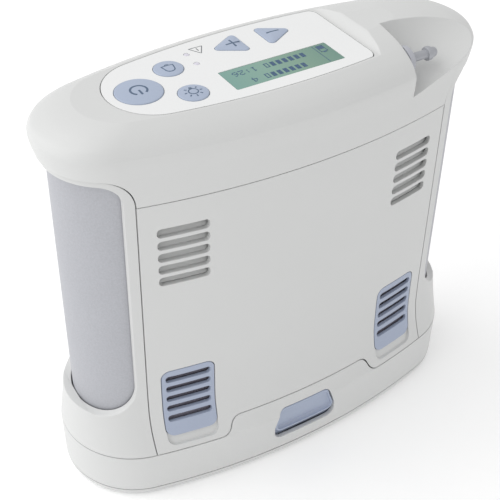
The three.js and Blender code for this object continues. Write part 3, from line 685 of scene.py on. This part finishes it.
def top_cap():
    heights = levels(CAP_SEAM, 172, 1.2) + levels(172, 180, 0.4)[1:] + levels(180, HOOD_TOP, 0.14)[1:]
    cap = loft("top_cap_shell", rings(CAP_WALL, heights))
    inner = rings(CAP_WALL, levels(CAP_SEAM, CEILING, 1.5))
    inner[0] = (CAP_SEAM - 1,) + inner[0][1:]
    hollow = cut(loft("hollow", inner, WALL), scoop_tool(WALL))
    pocket = overlay_solid("pocket", PANEL_TOP - OVERLAY["thickness"] - FIT, PANEL_TOP + 5, -FIT)
    cut(cap, step_tool(), hollow, scoop_tool(0), pocket)
    for side in SIDES.values():
        cut(cap, prism("end", end_region(side, -GAP / 2), *THROUGH))
    keypad_holes(cap, 0.6, FIT, 24)
    cut(cap, block("window", *display_edges(-1.2), *DOWN[1:]))
    cut(cap, bar("hole", "x", NOZZLE["bore"], (NOZZLE["wall"], NOZZLE["y"], NOZZLE["z"]), 20, 32))
    tip = Vector((NOZZLE["wall"], -31.3, SCOOP["z"] - SCOOP["half_z"]))

    def width_at(point):
        if point.x > NOZZLE["wall"] - 1 and point.z > 158:
            return 0.05 + 0.23 * min((point - tip).length / 6, 1)
        return 0.2 if point.z > 155 else 0.16

    soften(cap, width_at)
    place(cap, "housing", "shell", SHELL, "top_cap")


def keypad_overlay():
    film = overlay_solid("overlay_film", PANEL_TOP - OVERLAY["thickness"], PANEL_TOP, 0)
    keypad_holes(film, 0.16, 0.12, 32)
    cut(film, prism("window", rounded_rect(*display_edges(0.12), 0.5, 4), *DOWN))
    soften(film, 0.14)
    place(film, "housing", "overlay", OVERLAY_FILM, "keypad_overlay")


def key_reach(name):
    """The key's outline as the distance from its centre at an angle."""
    cx, cy = key_centre(name)
    polar = sorted((math.atan2(y - cy, x - cx), math.hypot(x - cx, y - cy)) for x, y in key_outline(name, 0))
    angles = [p[0] for p in polar]

    def at(x, y):
        angle = math.atan2(y - cy, x - cx)
        i = bisect_right(angles, angle) % len(polar)
        (a0, r0), (a1, r1) = polar[i - 1], polar[i]
        span = (a1 - a0) % (2 * math.pi) or 1.0
        t = ((angle - a0) % (2 * math.pi)) / span
        return r0 + (r1 - r0) * min(t, 1.0)

    return at


def dome_height(share):
    """Height of a key's face, from its centre (0) to its edge (1)."""
    return KEY_TOP + KEY_DOME * (1 - min(share, 1.0) ** 2)


def key_cap(name):
    cx, cy = key_centre(name)
    outlines = [[(x, y, CEILING - 1.2) for x, y in key_outline(name, 0)]]
    edge = 0.45
    for i in range(5):
        angle = QUARTER * i / 4
        inset = edge * (1 - math.cos(angle))
        z = KEY_TOP - edge + edge * math.sin(angle)
        outlines.append([(x, y, z) for x, y in key_outline(name, -inset)])
    rim = outlines[-1]
    for i in range(1, 17):
        share = 1 - i / 17
        z = dome_height(share)
        outlines.append([(cx + (x - cx) * share, cy + (y - cy) * share, z) for x, y, _ in rim])
    cap = stack(f"key_{name}_cap", outlines)
    fuse(cap, prism("flange", key_outline(name, 1.2), "z", CEILING - 1.4, CEILING - 0.5))
    place(cap, f"{name}_key", "key", KEY_RUBBER, f"key_{name}")


def ribbon(points, width, height_at, closed=False):
    """A thin raised line along a path, lying on the surface height_at(x, y)."""
    path = []
    pairs = list(zip(points, points[1:] + points[:1])) if closed else list(zip(points, points[1:]))
    for (x0, y0), (x1, y1) in pairs:
        count = max(1, round(math.hypot(x1 - x0, y1 - y0) / 0.5))
        path += [(x0 + (x1 - x0) * i / count, y0 + (y1 - y0) * i / count) for i in range(count)]
    if not closed:
        path.append(points[-1])
    vertices = []
    total = len(path)
    for i, (x, y) in enumerate(path):
        before = path[i - 1] if i or closed else path[0]
        after = path[(i + 1) % total] if i < total - 1 or closed else path[-1]
        run = math.hypot(after[0] - before[0], after[1] - before[1]) or 1.0
        nx, ny = -(after[1] - before[1]) / run, (after[0] - before[0]) / run
        for side, lift in ((-1, -0.12), (1, -0.12), (1, 0.035), (-1, 0.035)):
            px, py = x + nx * side * width / 2, y + ny * side * width / 2
            vertices.append((px, py, height_at(px, py) + lift))
    return strip(vertices, closed)


def key_icon(name, lines, width, shift=(0, 0)):
    """The symbol on a key: paths given around the key's centre, with +Y away from the front face."""
    cx, cy = key_centre(name)
    sx, sy = shift
    reach = key_reach(name)

    def height_at(x, y):
        return dome_height(math.hypot(x - cx, y - cy) / reach(x, y))

    strokes = []
    for path, closed in lines:
        points = [(cx + sx + x, cy + sy + y) for x, y in path]
        strokes.append(ribbon(points, width, height_at, closed))
    icon = joined(f"key_{name}_symbol", strokes)
    place(icon, f"{name}_key", "key", INK)


def key_icons():
    ring = arc(0, 0, 3.1, -QUARTER + 0.62, 3 * QUARTER - 0.62, 40)
    key_icon("power", [(ring, False), ([(0, -0.1), (0, -3.3)], False)], 0.8)
    dome = [(2.4, 1.7), (2.1, 0.2)] + arc(0, -0.6, 1.95, 0, -2 * QUARTER, 16) + [(-2.1, 0.2), (-2.4, 1.7)]
    key_icon("alert", [(dome, True), (arc(0, 1.7, 0.8, 0, 2 * QUARTER, 10), False)], 0.42, (0, -0.5))
    rays = []
    for i in range(8):
        if i != 2:
            t = i * math.pi / 4
            rays.append(([(r * math.cos(t), r * math.sin(t)) for r in (2.55, 3.55)], False))
    base = [([(-0.7, 2.3), (0.7, 2.3)], False), ([(-0.5, 2.95), (0.5, 2.95)], False)]
    key_icon("light", [(round_outline(0, 0, 1.8, 28), True)] + rays + base, 0.44)
    key_icon("plus", [([(-3, 0), (3, 0)], False), ([(0, -2.7), (0, 2.7)], False)], 0.68, (0.3, 0))
    key_icon("minus", [([(-2.8, 0), (2.8, 0)], False)], 0.62, (0.7, 0.4))


def warning_mark():
    """The printed triangle beside the two lights."""
    x, y = LED["x"] + 5.4, LED["ys"][0] + 1.0

    def flat(_x, _y):
        return PANEL_TOP

    outline = [(x - 2.9, y + 2.1), (x + 2.9, y + 2.1), (x, y - 2.9)]
    lines = [ribbon(outline, 0.36, flat, True), ribbon([(x, y + 1.3), (x, y - 0.7)], 0.4, flat)]
    place(joined("warning_mark", lines), "housing", "overlay", INK_GREY)


def light_pipes():
    for i, y in enumerate(LED["ys"]):
        radius = LED["radius"]
        profile = [(radius, -2.9), (radius, -0.25)]
        profile += [(radius * math.cos(t), -0.25 + 0.3 * math.sin(t)) for t in (0.4, 0.8, 1.15, 1.4)]
        pipe = lathe(f"led_lens_{i + 1}", profile, "z", (LED["x"], y, PANEL_TOP), 32)
        place(pipe, "housing", "light_pipe", LIGHT_PIPE, f"led_pipe_{i + 1}")


# Dot-matrix cells: digits, a full gauge cell (|) and an empty one (.).
GLYPHS = {
    "4": ["00110", "01010", "10010", "10010", "11111", "00010", "00010"],
    "1": ["00100", "01100", "00100", "00100", "00100", "00100", "01110"],
    "2": ["01110", "10001", "00001", "00110", "01000", "10000", "11111"],
    "6": ["00110", "01000", "10000", "11110", "10001", "10001", "01110"],
    ":": ["00000", "00100", "00100", "00000", "00100", "00100", "00000"],
    "|": ["11110", "11110", "11110", "11110", "11110", "11110", "11110"],
    ".": ["11110", "10010", "10010", "10010", "10010", "10010", "11110"],
}


def display():
    """The glass, and on it a dot-matrix reading: two gauges, each with its number."""
    top = PANEL_TOP - 0.12
    _, right, front, _ = display_edges(0)
    outline = rounded_rect(*display_edges(0), 0.4, 4)
    glass = soften(prism("lcd_glass", outline, "z", top - 1, top), 0.08)
    place(glass, "housing", "display", DISPLAY, "lcd_window")
    dot, gap, pitch = 0.45, 0.04, 2.68

    def patch(u0, u1, v0, v1):
        """A dark patch, in the reader's axes: u to the reader's right, v downwards."""
        return block("patch", right - u1, right - u0, front + v0, front + v1, top - 0.1, top + 0.03)

    patches = [patch(6.05, 6.3, 0.5, 13.5)]
    battery_sign = (
        (2.0, 5.1, 8.2, 8.5), (2.0, 2.3, 8.2, 12.9), (4.8, 5.1, 8.2, 12.9),
        (2.0, 5.1, 12.6, 12.9), (2.8, 4.3, 7.6, 8.2), (2.3, 4.8, 10.3, 12.6),
    )
    patches += [patch(*edges) for edges in battery_sign]
    for text, first, v in (("||||||. 4", 15.5, 1.8), ("||||||. 1:26", 11.8, 8.4)):
        for place_in_line, letter in enumerate(text):
            for row, bits in enumerate(GLYPHS.get(letter, [])):
                u = first + place_in_line * pitch
                for run in re.finditer("1+", bits):
                    patches.append(patch(u + run.start() * dot, u + run.end() * dot - gap,
                                         v + row * dot, v + (row + 1) * dot - gap))
    place(joined("lcd_reading", patches), "housing", "display", DISPLAY_INK)


def nozzle():
    centre = (NOZZLE["wall"], NOZZLE["y"], NOZZLE["z"])
    radius, depth, bore = NOZZLE["collar"], NOZZLE["depth"], NOZZLE["bore"]
    profile = [(bore, FIT), (radius - 0.1, FIT), (radius, FIT + 0.15)]
    profile += [(radius - 0.7 + 0.7 * math.cos(t), FIT + depth - 0.7 + 0.7 * math.sin(t)) for t in
                [QUARTER * i / 6 for i in range(7)]]
    face = FIT + depth
    profile += [(3.6, face), (3.3, face - 0.25), (2.5, face - 0.25), (bore, face - 0.4)]
    collar = cut(lathe("nozzle_seat", profile, "x", centre, 64), bar("bore", "x", bore, centre, 20, 64))
    place(collar, "housing", "collar", COLLAR, "nozzle_collar")
    shape = [(1.8, -4.5), (1.8, 11.2), (1.9, 11.45), (2.6, 11.7), (2.8, 12.0), (2.85, 12.4), (2.85, 13.3),
             (2.7, 13.8), (2.35, 14.4), (2.1, 14.9), (2.0, 15.6), (1.85, 16.1), (1.55, 16.5), (1.25, 16.7)]
    barb = cut(lathe("nozzle_barb", shape, "x", centre), bar("bore", "x", 1.1, centre, 60, 32))
    place(barb, "housing", "nozzle", NOZZLE_METAL, "cannula_nozzle")


# ---------------------------------------------------------------- panels, filters and end frames
def slot_tool(side, x0, x1, top, slot):
    outline = rounded_rect(x0, x1, top - slot["height"], top, slot["radius"], 6)
    return prism("slot", mirrored(outline, side), *THROUGH)


def half_space(face):
    """The depths in front of the middle, or behind it."""
    return (-60, -10) if face < 0 else (10, 60)


def finger_scoop(side, face):
    low, high = FINGER_SCOOP["bottom"], FILTER["bottom"] + 6
    outline = rounded_rect(FILTER["inner"], FILTER["outer"], low, high, 3.4, 10)
    band = prism("band", mirrored(outline, side), "y", *half_space(face))
    heights = levels(BATTERY_TOP, FILTER["bottom"] + 8, 0.8)
    core = loft("core", rings(BODY_WALL, heights), FINGER_SCOOP["depth"])
    return cut(band, core)


def overshot(wall):
    """A wall with its end rings 1 mm further out, so that it cuts right through."""
    (low, *bottom), *between, (high, *top) = wall
    return [(low - 1, *bottom), *between, (high + 1, *top)]


def filter_skin(name, side, face, grow, outer, inner):
    """The wall between two depths below the body's surface, within a filter's outline."""
    wall = rings(BODY_WALL, levels(FILTER["bottom"] - 2, FILTER["top"] + 2, 1.6))
    skin = cut(loft(name, wall, outer), loft("inside", overshot(wall), inner))
    return meet(skin, prism("outline", filter_outline(side, grow), "y", *half_space(face)))


def face_panel(face_name):
    face = FACES[face_name]
    low, high = BATTERY_TOP + GAP, CAP_SEAM - GAP
    wall = rings(BODY_WALL, levels(low, 60, 1.2) + levels(60, high, 6)[1:])
    panel = cut(loft(f"{face_name}_panel_shell", wall), loft("inside", overshot(wall), WALL))
    half = PANEL_HALF - GAP / 2
    meet(panel, prism("region", [(-half, 0), (half, 0), (half, 200), (-half, 200)], "y", *half_space(face)))
    cut(panel, prism("rail", hump_outline(GAP), *THROUGH))
    for side in SIDES.values():
        for i in range(LOUVRE["count"]):
            top = LOUVRE["top"] - i * LOUVRE["pitch"]
            cut(panel, slot_tool(side, LOUVRE["inner"], LOUVRE["outer"], top, LOUVRE))
        cut(panel, prism("filter_hole", filter_outline(side, FIT), *THROUGH), finger_scoop(side, face))
    if face > 0:
        cut(panel, bar("jack_hole", "y", JACK["radius"] + FIT, (JACK["x"], 35, JACK["z"]), 30))

    def width_at(point):
        on_slot = LOUVRE["inner"] - 0.5 < abs(point.x) < LOUVRE["outer"] + 0.5 and 100 < point.z < 142
        return 0.3 if on_slot else EDGE

    soften(panel, width_at)
    place(panel, "housing", "shell", SHELL, f"{face_name}_panel")


def louvre_fins():
    """Slanted fins behind the louvres, which let air out and hide the works."""
    low, high, depth, thickness = 2.35, 6.2, 4.9, 0.8
    fins = []
    for i in range(LOUVRE["count"]):
        bottom = LOUVRE["top"] - i * LOUVRE["pitch"] - LOUVRE["height"] - 0.2
        (z0, a0, b0), (z1, a1, b1) = rings(BODY_WALL, [bottom, bottom + depth])
        slope = (high - low) / depth
        outer = loft("fin", [(z0, a0 - low, b0 - low), (z1, a1 - high, b1 - high)])
        reach = 1.0
        inner = [(z0 - reach, a0 - low - thickness + slope * reach, b0 - low - thickness + slope * reach),
                 (z1 + reach, a1 - high - thickness - slope * reach, b1 - high - thickness - slope * reach)]
        fins.append(cut(outer, loft("inside", inner)))
    blocks = []
    for side in SIDES.values():
        for face in FACES.values():
            x0, x1 = sorted((side * (LOUVRE["inner"] - 1), side * (LOUVRE["outer"] + 1)))
            y0, y1 = half_space(face)
            blocks.append(block("area", x0, x1, y0, y1, 100, 150))
    areas = joined("areas", blocks)
    louvres = meet(joined("louvre_fins", fins), areas)
    soften(louvres, 0.12)
    place(louvres, "housing", "shell", SHELL)


def filter_set(face_name, side_name):
    face, side = FACES[face_name], SIDES[side_name]
    tag = f"{face_name}_{side_name}"
    grille = filter_skin(f"filter_grille_{tag}", side, face, 0, 0, FILTER["thickness"])
    middle = (FILTER["inner"] + FILTER["outer"]) / 2
    half = FILTER_SLOT["length"] / 2
    for i in range(FILTER_SLOT["count"]):
        top = FILTER_SLOT["first"] + FILTER_SLOT["height"] / 2 - i * FILTER_SLOT["pitch"]
        cut(grille, slot_tool(side, middle - half, middle + half, top, FILTER_SLOT))
    soften(grille, 0.28)
    place(grille, f"filter_{tag}", "accent", ACCENT, f"filter_frame_{tag}")
    depth = FILTER["thickness"] + FIT
    backing = filter_skin(f"filter_gauze_{tag}", side, face, -1, depth + 0.6, depth + 1)
    gauze = joined(f"filter_gauze_{tag}", [backing] + weave(side, face, middle, half, depth + 0.32))
    place(gauze, f"filter_{tag}", "filter_mesh", WEAVE, f"filter_mesh_{tag}")


def span_within(start, end, half):
    """The part of a run from start to end, as two shares of it, that lies between -half and half."""
    t0, t1 = 0.0, 1.0
    for bound, direction in ((-half, 1), (half, -1)):
        a0, a1 = (start - bound) * direction, (end - bound) * direction
        if a0 < 0 and a1 < 0:
            return 1.0, 0.0
        if a0 < 0:
            t0 = max(t0, a0 / (a0 - a1))
        elif a1 < 0:
            t1 = min(t1, a0 / (a0 - a1))
    return t0, t1


def weave(side, face, middle, half, depth):
    """Diagonal strands that pass over and under each other, bent to the wall."""
    pitch, thickness, wave = 1.25, 0.16, 0.13
    reach = 0.62 * 0.354  # half a strand's width, along X and along Z
    low = FILTER_SLOT["first"] - (FILTER_SLOT["count"] - 1) * FILTER_SLOT["pitch"] - 2.4
    high = FILTER_SLOT["first"] + 2.4
    rise = high - low
    half += 0.6
    b_at = monotone([r[0] for r in BODY_WALL], [r[2] for r in BODY_WALL])

    def section(lean, x, z):
        shift = 0.5 * pitch if lean > 0 else 0
        over = wave * lean * math.cos(2 * math.pi * (z + shift) / pitch)
        corners = []
        for across, up in ((-1, -1), (1, -1), (1, 1), (-1, 1)):
            px, pz = middle + (x + across * reach), z - lean * across * reach
            b = b_at(pz) - (depth - over - up * thickness / 2)
            y = math.sqrt(FACE_RADIUS ** 2 - px * px) - (FACE_RADIUS - b)
            corners.append((side * px, face * y, pz))
        return corners

    strands = []
    for lean in (-1, 1):
        for i in range(int((2 * half + rise) / pitch) + 1):
            x_start = -half - rise + i * pitch if lean > 0 else -half + i * pitch
            x_end = x_start + lean * rise
            t0, t1 = span_within(x_start, x_end, half)
            if t1 - t0 < 0.05:
                continue
            samples = max(2, round((t1 - t0) * rise / (pitch / 2)))
            corners = []
            for t in [t0 + (t1 - t0) * s / samples for s in range(samples + 1)]:
                corners += section(lean, x_start + (x_end - x_start) * t, low + rise * t)
            strands.append(strip(corners))
    return strands


def end_frame(side_name):
    side = SIDES[side_name]
    low = BATTERY_TOP + GAP
    heights = levels(low, 60, 2.2) + levels(60, 166, 12)[1:]
    shell = loft(f"end_frame_{side_name}_shell", rings(BODY_WALL, heights))
    meet(shell, prism("region", end_region(side, GAP / 2), *THROUGH))
    a, b = COLUMN["a"] + 0.5, COLUMN["b"] + 0.5
    cut(shell, loft("pocket", [(38.5, a, b), (171, a, b)]))
    cut(shell, loft("belly", [(20, 94.4, 38.3), (low + 0.2, 94.4, 38.3), (36, 92.8, 33.6)]))
    cut(shell, prism("opening", opening_outline(side), *THROUGH))

    def width_at(point):
        inboard = min(max((abs(point.x) - OPENING["edge"] + 0.5) / 0.6, 0), 1)
        above = min(max((point.z - 42) / 2, 0), 1)
        below = min(max((139 - point.z) / 6, 0), 1)
        return EDGE + 0.27 * inboard * above * below

    soften(shell, width_at, segments=3)
    place(shell, "housing", "shell", SHELL, f"end_frame_{side_name}")


def column(side_name):
    side = SIDES[side_name]
    wall = [(COLUMN["bottom"], COLUMN["a"], COLUMN["b"]), (COLUMN["top"], COLUMN["a"], COLUMN["b"])]
    tube = loft(f"sieve_column_{side_name}", wall)
    x0, x1 = sorted((side * COLUMN["inner"], side * 120))
    meet(tube, block("side", x0, x1, -60, 60, 0, 200))
    soften(tube, 1.0, segments=3)
    place(tube, "housing", "column", COLUMN_COAT, f"column_{side_name}")


def power_jack():
    centre = (JACK["x"], 31.5, JACK["z"])
    radius = JACK["radius"]
    profile = [(0.01, -6), (radius, -6), (radius, 5.6), (radius - 0.4, 6), (3.9, 6), (0.01, 6)]
    shell = cut(lathe("dc_socket", profile, "y", centre),
                bar("bore", "y", 3.4, (JACK["x"], 35.5, JACK["z"]), 12))
    pin = lathe("pin", [(1, -4), (1, 3.4), (0.6, 4)], "y", (JACK["x"], 32.6, JACK["z"]), 24)
    place(fuse(shell, pin), "housing", "dark_plastic", DARK, "dc_jack")


# ---------------------------------------------------------------- battery
def battery_case():
    tub = loft("battery_case_shell", rings(BATTERY_WALL, levels(4.6, BATTERY_TOP, 2.5)))
    rail = loft("rail", rings(BODY_WALL, levels(BATTERY_TOP, HUMP_TOP + 1.5, 0.7)))
    meet(rail, prism("rail_section", hump_outline(0), *THROUGH))
    fuse(tub, rail)
    cavity = loft("cavity", [(3.6, 94.6, 38.4), (BATTERY_TOP - WALL, 94.8, 38.7)])
    rail_cavity = block("rail_cavity", -29, 29, -35.3, 34.8, 10, HUMP_TOP - WALL)
    travel = [(x, z - LATCH["travel"]) for x, z in latch_outline(FIT)]
    window = prism("window", hull(latch_outline(FIT) + travel), "y", -60, -20)
    bay = block("bay", -11.4, 11.4, 32.5, 60, 24.8, HUMP_TOP - 1.6)
    cut(tub, cavity, rail_cavity, window, bay)

    def width_at(point):
        if abs(point.x) < 17 and point.y < -36 and point.z < 28:
            return 0.35
        return 0.06 if abs(point.y) > 30 and abs(point.z - BATTERY_TOP) < 0.8 and abs(point.x) < 48 else EDGE

    soften(tub, width_at)
    place(tub, "battery", "shell", SHELL, "battery_case")


def battery_base():
    plate = loft("battery_base_shell", rings(BASE_WALL, levels(0, 4.2, 0.35)))
    cut(plate, loft("well", [(2.2, 94, 37.8), (6, 94, 37.8)]))
    for x, y in SCREWS:
        fuse(plate, bar("boss", "z", 3.6, (x, y, 3), 2.4, 32))
        cut(plate, bar("sink", "z", 2.9, (x, y, 0), 2.6, 32), bar("hole", "z", 1.4, (x, y, 3), 8, 24))
    soften(plate, 0.16)
    place(plate, "battery", "shell", SHELL, "battery_base")


def base_screws():
    for i, (x, y) in enumerate(SCREWS):
        profile = [(2.1, 0.3), (2.5, 0.55), (2.5, 1.2), (1.1, 1.25), (1.1, 5.7), (0.7, 6.0)]
        screw = lathe(f"base_screw_{i + 1}_fine", profile, "z", (x, y, 0), 32)
        for half_x, half_y in ((1.5, 0.3), (0.3, 1.5)):
            cut(screw, block("drive", x - half_x, x + half_x, y - half_y, y + half_y, 0, 0.8))
        place(screw, "battery", "screw_steel", STEEL, f"base_screw_{i + 1}")


def latch():
    button = prism("latch_button", latch_outline(0), "y", -60, -34.9)
    wall = [(8, 96.75, 40.5), (LATCH["bottom"], 96.7, 40.4), (LATCH["top"] + 3, 96.5, 39.4)]
    meet(button, loft("face", wall))
    soften(button, 0.45, segments=3)
    steps, cove, floor = 6, 1.1, -38.6
    outlines = [[(x, -45, z) for x, z in latch_outline(-1.0)]]
    for i in range(steps + 1):
        angle = QUARTER * i / steps
        inset = 1.0 + cove * (1 - math.cos(angle))
        y = floor - cove + cove * math.sin(angle)
        outlines.append([(x, y, z) for x, z in latch_outline(-inset)])
    cut(button, stack("dish", outlines))
    plate = prism("plate", rounded_rect(-17.4, 17.4, 10, 29.4, 2), "y", -35, -33.5)
    fuse(button, plate, block("skirt", -17.2, 17.2, -37.4, -33.5, 10, 21))
    place(button, "latch", "accent", ACCENT, "battery_latch")


# ---------------------------------------------------------------- finishes for the nodes kept from the CAD
KEPT = {
    DARK: ["lcd_module", "buzzer", "fan_frame", "fan_rotor", "battery_plug"],
    BOARD: ["display_board", "main_board", "battery_board"],
    MID: ["chassis_tray", "valve_manifold"],
    PALE: ["accumulator", "oxygen_sensor", "outlet_tube"],
    MOTOR: ["compressor_motor", "solenoid_valve_1", "solenoid_valve_2"],
    CAST: ["compressor_head_left", "compressor_head_right"],
    CELL_WRAP: [f"cell_{i}" for i in range(1, 7)],
}


def finish_kept_nodes():
    for material, names in KEPT.items():
        for name in names:
            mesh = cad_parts[name].data
            mesh.materials.clear()
            mesh.materials.append(material)
            mesh.shade_smooth()
            mesh.set_sharp_from_angle(angle=math.radians(30))


# ---------------------------------------------------------------- studio
CAMERA = {"at": (-198.73, -303.80, 376.81), "azimuth": -32.45, "elevation": 38.79, "roll": 1.15, "lens": 77.1}


def camera():
    azimuth, elevation, roll = (math.radians(CAMERA[k]) for k in ("azimuth", "elevation", "roll"))
    back = Vector((math.sin(azimuth) * math.cos(elevation), -math.cos(azimuth) * math.cos(elevation),
                   math.sin(elevation)))
    level = (-back).cross(Vector((0, 0, 1))).normalized()
    up = level.cross(-back)
    right = math.cos(roll) * level + math.sin(roll) * up
    top = math.cos(roll) * up - math.sin(roll) * level
    data = bpy.data.cameras.new("camera")
    data.sensor_width = 36
    data.lens = CAMERA["lens"]
    data.clip_start = 0.01
    data.clip_end = 50
    eye = bpy.data.objects.new("camera", data)
    matrix = Matrix((right, top, back)).transposed().to_4x4()
    matrix.translation = Vector(CAMERA["at"]) * MM
    eye.matrix_world = matrix
    scene.collection.objects.link(eye)
    scene.camera = eye


def softbox(name, at, aim, size, power):
    data = bpy.data.lights.new(name, "AREA")
    data.shape = "RECTANGLE"
    data.size, data.size_y = size
    data.energy = power
    lamp = bpy.data.objects.new(name, data)
    lamp.location = at
    lamp.rotation_euler = (Vector(aim) - Vector(at)).to_track_quat("-Z", "Y").to_euler()
    scene.collection.objects.link(lamp)


def studio():
    reach = 5000
    floor = block("floor", -reach, reach, -reach, reach, -20, -0.05)
    floor.data.transform(Matrix.Scale(MM, 4))
    floor.data.materials.append(FLOOR)
    world = bpy.data.worlds.new("studio")
    world.use_nodes = True
    background = world.node_tree.nodes["Background"].inputs
    background["Color"].default_value = (1, 1, 1, 1)
    background["Strength"].default_value = 0.76
    scene.world = world
    softbox("key", (-1.7, 0.7, 1.8), (0, 0, 0.08), (3, 3), 40)
    scene.view_settings.view_transform = "Standard"


top_cap()
keypad_overlay()
for key_name in KEYS:
    key_cap(key_name)
key_icons()
warning_mark()
light_pipes()
display()
nozzle()
for face_key in FACES:
    face_panel(face_key)
    for side_key in SIDES:
        filter_set(face_key, side_key)
louvre_fins()
for side_key in SIDES:
    end_frame(side_key)
    column(side_key)
power_jack()
battery_case()
battery_base()
base_screws()
latch()
finish_kept_nodes()
camera()
studio()
